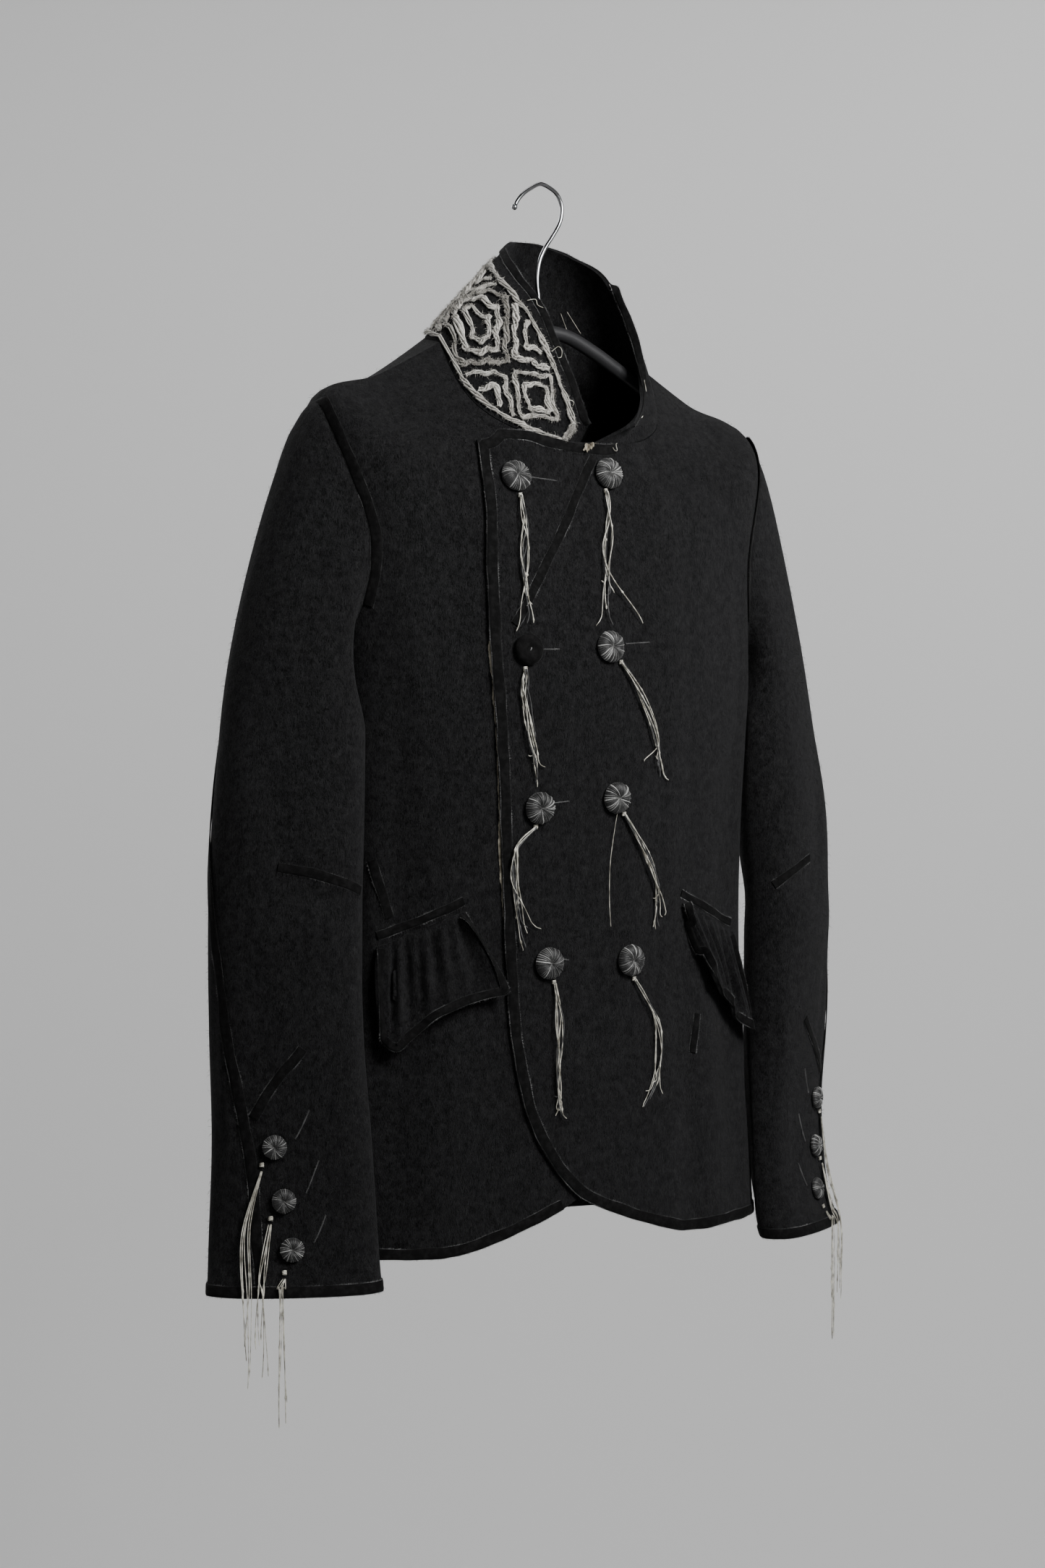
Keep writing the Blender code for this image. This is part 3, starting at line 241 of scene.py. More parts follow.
def front_panel(side):
    """Outer points and normals of a front: columns share the turn from its edge to the armhole evenly."""
    level = panel_levels()
    width = columns(LEVELS, level)[3]
    edge_x = front_edge(columns(LEVELS, level)[1])
    if side < 0:
        edge_x = edge_x - 2.0 * CENTRE_X + 0.030 * ease((level - SHOULDER) / 2.0)
    share = np.linspace(0.0, 1.0, FRONT_COLUMNS + 1)
    grid = np.repeat(level[:, None], FRONT_COLUMNS + 1, axis=1)
    edge = np.arcsin(np.clip(edge_x / width, -0.72, 0.72))
    turn = edge[:, None] + (front_of_armhole(level) - edge)[:, None] * share
    if side > 0:
        top = 1.0 - 0.36 * (1.0 - ease((np.sin(turn[-1]) * width[-1] + 0.075) / 0.05))
        above = grid > SHOULDER
        grid = np.where(above, SHOULDER + (grid - SHOULDER) * top, grid)
        lapel = np.arcsin(np.clip(edge_x[:, None] / columns(LEVELS, grid)[3], -0.9, 0.9))
        turn = np.where(above, lapel + (front_of_armhole(grid) - lapel) * share, turn)
    turn = side * turn
    normal = body_normal(grid, turn)
    outer = body(grid, turn)
    if side > 0:
        outer = outer + normal * lap_lift(grid, outer[..., 0])[..., None]
    return drawn_back(outer), normal


def back_panel():
    """Outer points and normals of the back, whose columns run from one armhole round to the other."""
    level = panel_levels()
    start = back_of_armhole(level)[:, None]
    turn = start + 2.0 * (math.pi - start) * np.linspace(0.0, 1.0, BACK_COLUMNS + 1)
    grid = np.repeat(level[:, None], BACK_COLUMNS + 1, axis=1)
    return drawn_back(body(grid, turn)), body_normal(grid, turn)


def cells(rows, count, closed=False):
    """The four corner numbers of each cell of a grid, whose columns may close into a ring."""
    row, column = np.meshgrid(np.arange(rows - 1), np.arange(count if closed else count - 1), indexing="ij")
    a = row * count + column
    b = row * count + (column + 1) % count
    return np.stack([a, b, b + count, a + count], -1).reshape(-1, 4)


def wall(outer, inner, closed=False):
    """Points and faces of a cloth wall: the outer grid, the inner grid, and a strip round each open border."""
    rows, count = outer.shape[:2]
    total = rows * count
    face = cells(rows, count, closed)
    number = np.arange(total).reshape(rows, count)
    rims = [number[0], number[-1, ::-1]]
    if closed:
        rims = [np.append(rim, rim[0]) for rim in rims]
    else:
        rims = [np.concatenate([number[0], number[1:, -1], number[-1, -2::-1], number[-2::-1, 0]])]
    strips = [np.stack([r[:-1], r[:-1] + total, r[1:] + total, r[1:]], -1) for r in rims]
    points = np.concatenate([outer.reshape(-1, 3), inner.reshape(-1, 3)])
    return points, np.concatenate([face, face[:, ::-1] + total, *strips])


def outward(points, faces):
    """The faces, turned over together if the closed shape they bound has a negative volume."""
    a, b, c = (points[faces[:, k]] for k in range(3))
    volume = np.einsum("ij,ij->i", a, np.cross(b, c)).sum()
    if faces.shape[1] == 4:
        volume += np.einsum("ij,ij->i", a, np.cross(c, points[faces[:, 3]])).sum()
    return faces if volume > 0.0 else faces[:, ::-1]


def piece(name, points, faces, material, sharp_deg=50.0):
    """A mesh object at the origin that rides on the root body, with its faces smooth up to a sharp angle."""
    mesh = bpy.data.meshes.new(name)
    mesh.from_pydata(points.tolist(), [], faces.tolist())
    mesh.materials.append(material)
    mesh.shade_smooth()
    mesh.set_sharp_from_angle(angle=math.radians(sharp_deg))
    made = bpy.data.objects.new(name, mesh)
    bpy.context.scene.collection.objects.link(made)
    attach(made, "root")
    return made


def add_node(tree, kind, inputs=None, **settings):
    """A shader node with its settings, and its inputs set to constants or linked to other nodes' outputs."""
    made = tree.nodes.new(kind)
    for name, value in settings.items():
        setattr(made, name, value)
    for name, value in (inputs or {}).items():
        if isinstance(value, bpy.types.NodeSocket):
            tree.links.new(value, made.inputs[name])
        else:
            made.inputs[name].default_value = value
    return made


def new_material(name, **constants):
    """A Principled material with constants on its sockets, and its tree, shader and object coordinates."""
    material = bpy.data.materials.new(name)
    material.use_nodes = True
    tree = material.node_tree
    shader = tree.nodes["Principled BSDF"]
    for socket, value in constants.items():
        shader.inputs[socket.replace("_", " ")].default_value = value
    place = add_node(tree, "ShaderNodeTexCoord").outputs["Object"]
    return material, tree, shader, place


def new_group(name, inputs, outputs):
    """An empty node group with float or vector inputs and its outputs, and its two end nodes."""
    group = bpy.data.node_groups.new(name, "ShaderNodeTree")
    for socket, kind in inputs:
        group.interface.new_socket(socket, in_out="INPUT", socket_type=kind)
    for socket, kind in outputs:
        group.interface.new_socket(socket, in_out="OUTPUT", socket_type=kind)
    return group, group.nodes.new("NodeGroupInput"), group.nodes.new("NodeGroupOutput")


def mixed(tree, share, first, second):
    """A colour between two colours."""
    made = add_node(tree, "ShaderNodeMix", data_type="RGBA")
    tree.links.new(share, made.inputs[0])
    made.inputs[6].default_value = (*first, 1.0)
    made.inputs[7].default_value = (*second, 1.0)
    return made.outputs[2]


# Felt: matted fibres in three sizes, from clumps of nap to single hairs, all as noise.
FELT, felt_in, felt_out = new_group(
    "felt",
    (("Place", "NodeSocketVector"), ("Clump Scale", "NodeSocketFloat"), ("Hair Scale", "NodeSocketFloat")),
    (("Hairs", "NodeSocketFloat"), ("Clumps", "NodeSocketFloat"), ("Height", "NodeSocketFloat")),
)
felt_clumps = add_node(
    FELT,
    "ShaderNodeTexNoise",
    {
        "Vector": felt_in.outputs["Place"],
        "Scale": felt_in.outputs["Clump Scale"],
        "Detail": 5.0,
        "Roughness": 0.6,
    },
)
felt_drawn = add_node(
    FELT, "ShaderNodeMapping", {"Vector": felt_in.outputs["Place"], "Scale": (1.0, 1.0, 0.35)}
)
felt_hairs = add_node(
    FELT,
    "ShaderNodeTexNoise",
    {
        "Vector": felt_drawn.outputs["Vector"],
        "Scale": felt_in.outputs["Hair Scale"],
        "Detail": 6.0,
        "Roughness": 0.72,
        "Distortion": 1.4,
    },
)
felt_sum = add_node(
    FELT,
    "ShaderNodeMath",
    {0: felt_clumps.outputs[0], 1: 0.35, 2: felt_hairs.outputs[0]},
    operation="MULTIPLY_ADD",
)
FELT.links.new(felt_hairs.outputs[0], felt_out.inputs["Hairs"])
FELT.links.new(felt_clumps.outputs[0], felt_out.inputs["Clumps"])
FELT.links.new(felt_sum.outputs[0], felt_out.inputs["Height"])


def ramp(tree, value, low, high):
    """A value stretched so that low becomes 0 and high becomes 1."""
    made = add_node(
        tree, "ShaderNodeMapRange", {"Value": value, "From Min": low, "From Max": high}, clamp=True
    )
    return made.outputs["Result"]


def felt_material(name, dark, light, bump):
    """Wool whose hairs catch light against a darker ground, with a soft sheen at grazing angles."""
    material, tree, shader, place = new_material(name, Roughness=0.95, Sheen_Weight=0.045, Sheen_Roughness=0.45)
    shader.inputs["Specular IOR Level"].default_value = 0.12
    shader.inputs["Sheen Tint"].default_value = (0.55, 0.55, 0.57, 1.0)
    felt = add_node(tree, "ShaderNodeGroup", {}, node_tree=FELT)
    tree.links.new(place, felt.inputs["Place"])
    felt.inputs["Clump Scale"].default_value = 170.0
    felt.inputs["Hair Scale"].default_value = 900.0
    hairs = ramp(tree, felt.outputs["Height"], 0.58, 0.84)
    tree.links.new(mixed(tree, hairs, dark, light), shader.inputs["Base Color"])
    raised = add_node(
        tree, "ShaderNodeBump", {"Strength": bump, "Distance": 0.0012, "Height": felt.outputs["Height"]}
    )
    tree.links.new(raised.outputs["Normal"], shader.inputs["Normal"])
    return material


WOOL = felt_material("black_felted_wool", (0.0003, 0.0003, 0.0004), (0.0165, 0.0165, 0.0170), 1.0)
# The nap's hairs get a brighter copy of the wool's colours: the extra lightness is painted sheen on the hairs.
NAP_WITH_PAINTED_SHEEN = felt_material("black_wool_nap_painted_sheen", (0.0030, 0.0030, 0.0031), (0.0280, 0.0280, 0.0285), 0.0)
HAIR_WIDTH = 0.00015


def blades(root, out, length, random):
    """Hairs from roots: each is a bent blade of three triangles that leans over as it rises."""
    count = len(root)
    lean = random.normal(size=(count, 3)) - np.array((0.0, 0.0, 0.8))
    lean = unit(lean - out * (lean * out).sum(-1, keepdims=True))
    reach = length * (0.25 + 0.75 * random.random((count, 1)) ** 2.2)
    middle = root + out * reach * 0.42 + lean * reach * 0.25
    tip = middle + out * reach * random.uniform(-0.05, 0.40, (count, 1)) + lean * reach * 0.50
    side = unit(np.cross(tip - root, random.normal(size=(count, 3)))) * 0.5 * HAIR_WIDTH
    points = np.stack([root - side, root + side, middle - side, middle + side, tip], axis=1)
    faces = np.arange(count)[:, None, None] * 5 + np.array(((0, 1, 3), (0, 3, 2), (2, 3, 4)))
    return points.reshape(-1, 3), faces.reshape(-1, 3)


def nap(name, points, normals, count, length, seed, closed=False):
    """Hairs on a grid, thrown by area, in the wool's colours lightened with painted sheen."""
    random = np.random.default_rng(seed)
    across = (np.roll(points, -1, axis=1) - points)[:-1] if closed else np.diff(points, axis=1)[:-1]
    up = np.diff(points, axis=0)[:, : across.shape[1]]
    area = np.linalg.norm(np.cross(across, up), axis=-1)
    chosen = random.choice(area.size, count, p=area.ravel() / area.sum())
    row, column = np.divmod(chosen, area.shape[1])
    after = (column + 1) % points.shape[1]
    u, v = random.random((2, count, 1))

    def between(grid):
        low = grid[row, column] * (1.0 - u) + grid[row, after] * u
        high = grid[row + 1, column] * (1.0 - u) + grid[row + 1, after] * u
        return low * (1.0 - v) + high * v

    made, faces = blades(between(points), unit(between(normals)), length, random)
    made = piece(name, made, faces, NAP_WITH_PAINTED_SHEEN)
    return made


def thinned(grid, rows, columns):
    """Every so many rows and columns of a grid, with its last ones kept."""
    row = np.unique(np.r_[0 : len(grid) : rows, len(grid) - 1])
    column = np.unique(np.r_[0 : grid.shape[1] : columns, grid.shape[1] - 1])
    return grid[row][:, column]


def wool_piece(name, outer, normals, closed=False, rows=2, columns=1):
    """A wall of wool in place of its node."""
    outer, normals = thinned(outer, rows, columns), thinned(normals, rows, columns)
    points, faces = wall(outer, outer - normals * WALL, closed)
    made = piece(name + "_cloth", points, outward(points, faces), WOOL)
    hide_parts(name)
    return made


left_outer, left_normal = front_panel(1)
right_outer, right_normal = front_panel(-1)
back_outer, back_normal = back_panel()
front_left = wool_piece("front_left", left_outer, left_normal, rows=1, columns=2)
front_right = wool_piece("front_right", right_outer, right_normal, rows=1, columns=2)
back = wool_piece("back", back_outer, back_normal)
PANEL_HAIRS = 9000
nap("front_left_nap", left_outer, left_normal, PANEL_HAIRS, 0.0048, 1)
nap("front_right_nap", right_outer, right_normal, PANEL_HAIRS, 0.0048, 2)
nap("back_nap", back_outer, back_normal, PANEL_HAIRS, 0.0048, 3)

# The sleeves. Each is one piece of the same wool, eased into the armhole, closed along a taped hind seam
# and widening a little at its open cuff. They hang forward, and crease softly about the elbow.
SLEEVES = np.array((
    # x, y, z, half_long, half_short, facing_deg, twist_deg
    (0.2270, -0.0070, -0.430, 0.0535, 0.0330, 30, 16),
    (0.2345, -0.0130, -0.500, 0.0555, 0.0310, 29, 36),
    (0.2385, -0.0160, -0.566, 0.0560, 0.0290, 28, 56),
    (0.2380, -0.0160, -0.650, 0.0565, 0.0270, 28, 80),
    (0.2330, -0.0160, -0.730, 0.0585, 0.0250, 28, 97),
    (0.2350, -0.0220, -0.800, 0.0615, 0.0235, 28, 104),
    (0.2400, -0.0325, -0.834, 0.0630, 0.0220, 28, 107),
))
SLEEVE_FOLDS = (
    # spin_deg, z, spread_deg, spread_z, height, slant in degrees a metre
    (115, -0.545, 34, 0.016, -0.0036, 0),
    (100, -0.580, 38, 0.017, 0.0028, 0),
    (125, -0.615, 34, 0.015, -0.0030, 0),
    (60, -0.480, 18, 0.060, 0.0030, 120),
    (20, -0.640, 20, 0.070, -0.0028, -100),
    (250, -0.560, 34, 0.020, -0.0034, 0),
    (290, -0.700, 26, 0.060, 0.0030, 90),
    (110, -0.760, 18, 0.050, -0.0026, 60),
    (85, -0.500, 9, 0.050, -0.0015, 160),
    (140, -0.660, 12, 0.045, 0.0014, -120),
    (40, -0.700, 10, 0.060, 0.0014, 80),
    (75, -0.640, 8, 0.050, -0.0012, 140),
    (330, -0.600, 14, 0.060, -0.0016, 90),
    (215, -0.640, 16, 0.030, 0.0016, 60),
    (270, -0.780, 14, 0.040, -0.0015, -60),
)
SLEEVE_CLEAR = 0.004
SLEEVE_PRESS = 0.004
LOOP_STEPS = 20
SLEEVE_COLUMNS = 120
CAP_ROWS = 40
SLEEVE_ROWS = 100


def body_side_x(y, z):
    """Half the body's width at a depth and height: width (1 - |y / depth|^2.5)^0.5."""
    width = np.interp(z, LEVELS[:7, 0], LEVELS[:7, 3])
    depth = np.interp(z, LEVELS[:7, 0], LEVELS[:7, 4])
    return width * np.sqrt(np.clip(1.0 - (np.abs(y) / depth) ** 2.5, 0.0, 1.0))


def signed_power(value, power):
    return np.sign(value) * np.abs(value) ** power


def sleeve_ring(side, row, spin):
    """A squared oval at a row of the table, with folds as bells in spin and height, kept off the body."""
    x, y, z, half_long, half_short, facing, twist = columns(SLEEVES, row)
    spin = spin + np.radians(twist)
    rise = np.zeros(np.broadcast(spin, z).shape)
    for middle, fold_z, spread, spread_z, height, slant in SLEEVE_FOLDS:
        apart = (np.degrees(spin) - middle - slant * (fold_z - z) + 180.0) % 360.0 - 180.0
        rise = rise + height * np.exp(-((apart / spread) ** 2) - ((z - fold_z) / spread_z) ** 2)
    across = (half_long + rise) * signed_power(np.cos(spin), 0.85)
    ahead = (half_short + rise) * signed_power(np.sin(spin), 0.85)
    facing = np.radians(facing)
    from_centre = x + across * np.cos(facing) + ahead * np.sin(facing)
    depth = y + across * np.sin(facing) - ahead * np.cos(facing)
    height = z + 0.0 * spin
    least = body_side_x(depth, height) + SLEEVE_CLEAR
    apart = from_centre - least
    from_centre = least + 0.5 * (apart + np.sqrt(apart**2 + SLEEVE_PRESS**2))
    return np.stack([side * from_centre, depth, height], -1)


def armhole(side, spin):
    """Points of the armhole's loop at each spin, down its front from the shoulder and up its back."""
    step = spin / (2.0 * math.pi) * LOOP_STEPS
    half = LOOP_STEPS / 2.0
    down = np.interp(step, np.arange(11), ARM_LEVELS[::-1])
    rising = np.interp(step - half, np.arange(11), ARM_LEVELS)
    level = np.where(step <= half, down, rising)
    turn = np.where(step <= half, front_of_armhole(level), back_of_armhole(level))
    return body(level, side * turn)


def sleeve(side):
    """Rings of a sleeve: Hermite curves from the armhole to its first section, then its sections."""
    spin = np.arange(SLEEVE_COLUMNS) * 2.0 * math.pi / SLEEVE_COLUMNS
    leave = unit(np.array((side * 1.0, 0.0, -0.34)))
    start = armhole(side, spin) + leave * 1.5 * GAP
    target = sleeve_ring(side, 0.0, spin)
    fall = unit(sleeve_ring(side, 0.1, spin) - target)
    reach = np.linalg.norm(target - start, axis=-1, keepdims=True)
    share = np.linspace(0.0, 1.0, CAP_ROWS)[:-1, None, None]
    square, cube = share**2, share**3
    cap = (
        (2.0 * cube - 3.0 * square + 1.0) * start
        + (cube - 2.0 * square + share) * leave * (0.22 * reach + 0.012)
        + (3.0 * square - 2.0 * cube) * target
        + (cube - square) * fall * reach
    )
    row = np.linspace(0.0, len(SLEEVES) - 1.0, SLEEVE_ROWS)[:, None]
    outer = np.concatenate([cap, sleeve_ring(side, row, spin[None, :])])
    along = np.roll(outer, -1, axis=1) - np.roll(outer, 1, axis=1)
    normal = unit(np.cross(along, np.gradient(outer, axis=0)))
    if ((outer - outer.mean(axis=1, keepdims=True)) * normal).sum() < 0.0:
        normal = -normal
    return outer, normal


SLEEVE_SIDES = (("left", 1), ("right", -1))
SLEEVE_GRIDS = {side: sleeve(side) for _, side in SLEEVE_SIDES}
sleeves = {}
for word, side in SLEEVE_SIDES:
    sleeves[side] = wool_piece(f"sleeve_{word}", *SLEEVE_GRIDS[side], closed=True)
    nap(f"sleeve_{word}_nap", *SLEEVE_GRIDS[side], PANEL_HAIRS, 0.0052, 6 + side, closed=True)

# The collar stands up round the neck, one piece of wool. Its right wing shows its outer face, and its
# left wing stands further out and shows its bare black inner face.
COLLAR = np.array((
    # seam_turn_deg, edge_x, edge_y, edge_z, bulge
    (-4, -0.0050, -0.0720, -0.1940, 0.0000),
    (-30, -0.0110, -0.0600, -0.1600, 0.0020),
    (-52, -0.0170, -0.0470, -0.1280, 0.0040),
    (-70, -0.0220, -0.0320, -0.0980, 0.0050),
    (-92, -0.0270, -0.0100, -0.0720, 0.0050),
    (-125, -0.0200, 0.0180, -0.0500, 0.0040),
    (-155, -0.0080, 0.0310, -0.0405, 0.0040),
    (-180, 0.0040, 0.0360, -0.0375, 0.0040),
    (-210, 0.0240, 0.0330, -0.0385, 0.0050),
    (-240, 0.0450, 0.0180, -0.0480, 0.0060),
    (-268, 0.0620, -0.0010, -0.0650, 0.0060),
    (-290, 0.0760, -0.0080, -0.0980, 0.0050),
    (-310, 0.0790, -0.0220, -0.1350, 0.0040),
    (-332, 0.0660, -0.0460, -0.1680, 0.0020),
    (-356, 0.0400, -0.0700, -0.1920, 0.0000),
))
COLLAR_WALL = 0.0024
COLLAR_COLUMNS = 240
COLLAR_ROWS = 48


def collar(turn, share):
    """A ruled surface from the neck seam to the free edge, bowed outward by 4 s (1 - s) times its bulge."""
    where = np.interp(-np.degrees(turn), -COLLAR[:, 0], np.arange(len(COLLAR)))
    _, edge_x, edge_y, edge_z, bulge = columns(COLLAR, where)
    base = body(np.full_like(turn, NECK), turn) + np.array((0.0, 0.0, 2.0 * GAP))
    out = np.stack([np.sin(turn), -np.cos(turn), 0.0 * turn], -1)
    edge = np.stack([edge_x, edge_y, edge_z], -1)
    share = np.asarray(share)[..., None]
    return base + (edge - base) * share + out * 4.0 * share * (1.0 - share) * bulge[..., None]


def collar_normal(turn, share):
    """The cross product of the collar's steps along its turn and up its share, facing away from the neck."""
    step = 0.01
    along = collar(turn + step, share) - collar(turn - step, share)
    rise = collar(turn, np.minimum(share + step, 1.0)) - collar(turn, np.maximum(share - step, 0.0))
    return unit(np.cross(along, rise))


near_end, far_end = math.radians(COLLAR[0, 0]), math.radians(COLLAR[-1, 0])
collar_turn, collar_share = np.meshgrid(
    np.linspace(near_end, far_end, COLLAR_COLUMNS), np.linspace(0.0, 1.0, COLLAR_ROWS)
)
collar_outer = collar(collar_turn, collar_share)
collar_out = collar_normal(collar_turn, collar_share)
collar_inner = collar_outer - collar_out * COLLAR_WALL
collar_inner[0, :, 2] -= 0.0014
points, faces = wall(collar_outer, collar_inner)
collar_cloth = piece("collar_cloth", points, outward(points, faces), WOOL)
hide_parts("collar")
nap("collar_nap", collar_outer, collar_out, 4000, 0.0035, 11)
nap("collar_inner_nap", collar_outer - collar_out * COLLAR_WALL, -collar_out, 2500, 0.0030, 12)

# The pocket flaps. Each hangs from a taped seam on its front, and its cloth is drawn up into puckers by
# the tape along its wavy lower edge.
FLAP_RIGHT = np.array((
    # seam_x, seam_z, edge_x, edge_z, lift
    (-0.1700, -0.5870, -0.1720, -0.6570, 0.0060),
    (-0.1610, -0.5830, -0.1600, -0.6640, 0.0110),
    (-0.1500, -0.5770, -0.1440, -0.6500, 0.0050),
    (-0.1370, -0.5715, -0.1300, -0.6370, 0.0090),
    (-0.1250, -0.5665, -0.1110, -0.6290, 0.0060),
    (-0.1140, -0.5620, -0.0815, -0.6230, 0.0120),
))
FLAP_LEFT = np.array((
    (0.1560, -0.5870, 0.1720, -0.6660, 0.0050),
    (0.1440, -0.5830, 0.1640, -0.6650, 0.0110),
    (0.1280, -0.5775, 0.1500, -0.6560, 0.0060),
    (0.1120, -0.5715, 0.1370, -0.6460, 0.0090),
    (0.0970, -0.5660, 0.1240, -0.6350, 0.0060),
    (0.0840, -0.5610, 0.1100, -0.6230, 0.0100),
))
FLAP_PUCKER = 0.0016
FLAP_CREASE = 0.0018


def on_front(side, x, z, off=0.0):
    """Points that lie over (x, z) on a front's face, and its normals. Halving finds each point's level."""
    x, z = np.broadcast_arrays(np.asarray(x, float), np.asarray(z, float))
    low, high = np.zeros(x.shape), np.full(x.shape, NECK)
    for _ in range(24):
        level = 0.5 * (low + high)
        turn = np.arcsin(np.clip(x / columns(LEVELS, level)[3], -0.99, 0.99))
        below = body(level, turn)[..., 2] < z
        low, high = np.where(below, level, low), np.where(below, high, level)
    normal = body_normal(level, turn)
    lift = lap_lift(level, x) if side > 0 else 0.0 * x
    return body(level, turn) + normal * (lift + off)[..., None], normal


def flap(side, table, where, share):
    """From the seam to the edge, standing off by lift s^1.6, with puckers and creases that fade at both."""
    seam_x, seam_z, edge_x, edge_z, lift = columns(table, where)
    pucker = FLAP_PUCKER * np.sin(math.pi * share) * (1.0 + np.cos(5.2 * where))
    crease = FLAP_CREASE * np.sin(math.pi * share**0.8) * np.cos(9.0 * where + 1.5 * share + 0.7)
    place, normal = on_front(side, seam_x + (edge_x - seam_x) * share, seam_z + (edge_z - seam_z) * share)
    return place + normal * (WALL + 0.0012 + lift * share**1.6 + pucker + crease)[..., None]


FLAPS = {}
for word, side, table in (("right", -1, FLAP_RIGHT), ("left", 1, FLAP_LEFT)):
    where, share = np.meshgrid(np.linspace(0.0, len(table) - 1.0, 90), np.linspace(0.0, 1.0, 50))
    outer = flap(side, table, where, share)
    normal = unit(np.cross(np.gradient(outer, axis=1), np.gradient(outer, axis=0)))
    normal = np.where(normal[..., 1:2] > 0.0, -normal, normal)
    made = wool_piece(f"pocket_flap_{word}", outer, normal)
    nap(f"pocket_flap_{word}_nap", outer, normal, 1500, 0.0040, 20 + side)
    FLAPS[side] = (made, outer, normal)

# Velvet tape, 6 to 8 mm wide and deep black, is sewn flat over every edge and along the seams and darts.
# Its cut borders fray into short grey threads.
TAPE_WIDTH = 0.008
DART_TAPE_WIDTH = 0.007
NARROW_TAPE_WIDTH = 0.006
TAPE_THICK = 0.0010
TAPE_OFF = 0.0003
FRAY_SPACING = 0.00028
TAPE_PROFILE = np.array((
    # across in half widths, height in thicknesses
    (-1.00, 0.00),
    (-1.00, 0.45),
    (-0.84, 0.85),
    (-0.45, 1.00),
    (0.00, 0.96),
    (0.45, 1.00),
    (0.84, 0.85),
    (1.00, 0.45),
    (1.00, 0.00),
    (0.00, 0.00),
))


def velvet_material():
    """Short pile: near black seen straight on, a little lighter where it is brushed, with a faint sheen."""
    material, tree, shader, place = new_material(
        "black_velvet_tape", Roughness=0.9, Sheen_Weight=0.05, Sheen_Roughness=0.25
    )
    shader.inputs["Specular IOR Level"].default_value = 0.1
    felt = add_node(tree, "ShaderNodeGroup", {}, node_tree=FELT)
    tree.links.new(place, felt.inputs["Place"])
    felt.inputs["Clump Scale"].default_value = 220.0
    felt.inputs["Hair Scale"].default_value = 1500.0
    brushed = ramp(tree, felt.outputs["Clumps"], 0.45, 0.75)
    tree.links.new(mixed(tree, brushed, (0.0018,) * 3, (0.0085,) * 3), shader.inputs["Base Color"])
    raised = add_node(
        tree, "ShaderNodeBump", {"Strength": 0.5, "Distance": 0.0006, "Height": felt.outputs["Height"]}
    )
    tree.links.new(raised.outputs["Normal"], shader.inputs["Normal"])
    return material


def thread_material(name, dark, light, roughness, patches=160.0, start=0.35, end=0.65):
    """Twisted thread, whose tone changes along it in patches."""
    material, tree, shader, place = new_material(name, Roughness=roughness, Sheen_Weight=0.1)
    tone = add_node(tree, "ShaderNodeTexNoise", {"Vector": place, "Scale": patches, "Detail": 4.0})
    twist = add_node(tree, "ShaderNodeTexNoise", {"Vector": place, "Scale": 1400.0, "Detail": 2.0})
    share = ramp(tree, tone.outputs[0], start, end)
    tree.links.new(mixed(tree, share, dark, light), shader.inputs["Base Color"])
    raised = add_node(
        tree, "ShaderNodeBump", {"Strength": 0.4, "Distance": 0.0003, "Height": twist.outputs[0]}
    )
    tree.links.new(raised.outputs["Normal"], shader.inputs["Normal"])
    return material


VELVET = velvet_material()
FRAY = thread_material("grey_frayed_thread", (0.004,) * 3, (0.230,) * 3, 0.8, 48.0, 0.46, 0.70)


def carry(profile, centre, across, out, closed=False):
    """A closed profile carried along a path: each station's points are centre + across a + out b."""
    rows, count = len(centre), len(profile)
    points = centre[:, None] + across[:, None] * profile[:, :1] + out[:, None] * profile[:, 1:]
    number = np.arange(rows * count).reshape(rows, count)
    if closed:
        number = np.concatenate([number, number[:1]])
    a, b = number[:-1], number[1:]
    faces = np.stack([a, np.roll(a, -1, axis=1), np.roll(b, -1, axis=1), b], -1).reshape(-1, 4)
    if not closed:
        start, end = number[0], number[-1]
        inner = np.arange(1, count - 1, 2)
        caps = [
            np.stack([ring[np.zeros_like(inner)], ring[inner], ring[inner + 1], ring[(inner + 2) % count]], -1)
            for ring in (start, end[::-1])
        ]
        faces = np.concatenate([faces, *caps])
    return points.reshape(-1, 3), faces


def resample(points, spacing, closed=False):
    """Rows every so far along a line, by straight interpolation over its length, which x, y and z give."""
    line = np.concatenate([points, points[:1]]) if closed else points
    run = np.concatenate([[0.0], np.cumsum(np.linalg.norm(np.diff(line[:, :3], axis=0), axis=1))])
    count = max(int(run[-1] / spacing), 4)
    at = np.linspace(0.0, run[-1], count + 1)
    if closed:
        at = at[:-1]
    return np.stack([np.interp(at, run, line[:, k]) for k in range(line.shape[1])], -1)


def tangents(points, closed=False):
    """Directions along a line of points."""
    if closed:
        return unit(np.roll(points, -1, axis=0) - np.roll(points, 1, axis=0))
    return unit(np.gradient(points, axis=0))


def fray(border, away, out, seed):
    """Short thread ends along a border, each a blade that points away from the tape and a little along it."""
    random = np.random.default_rng(seed)
    count = len(border)
    way = tangents(border)
    reach = random.uniform(0.0004, 0.0019, (count, 1)) * random.random((count, 1)) ** 0.5
    lean = away + way * random.normal(0.0, 0.9, (count, 1)) + out * random.uniform(-0.1, 0.5, (count, 1))
    root = border + way * random.uniform(-0.0002, 0.0002, (count, 1))
    tip = root + unit(lean) * reach
    side = unit(np.cross(lean, out)) * 0.00009
    points = np.stack([root - side, root + side, tip + side * 0.5, tip - side * 0.5], axis=1).reshape(-1, 3)
    faces = np.arange(count)[:, None] * 4 + np.arange(4)
    return points, faces


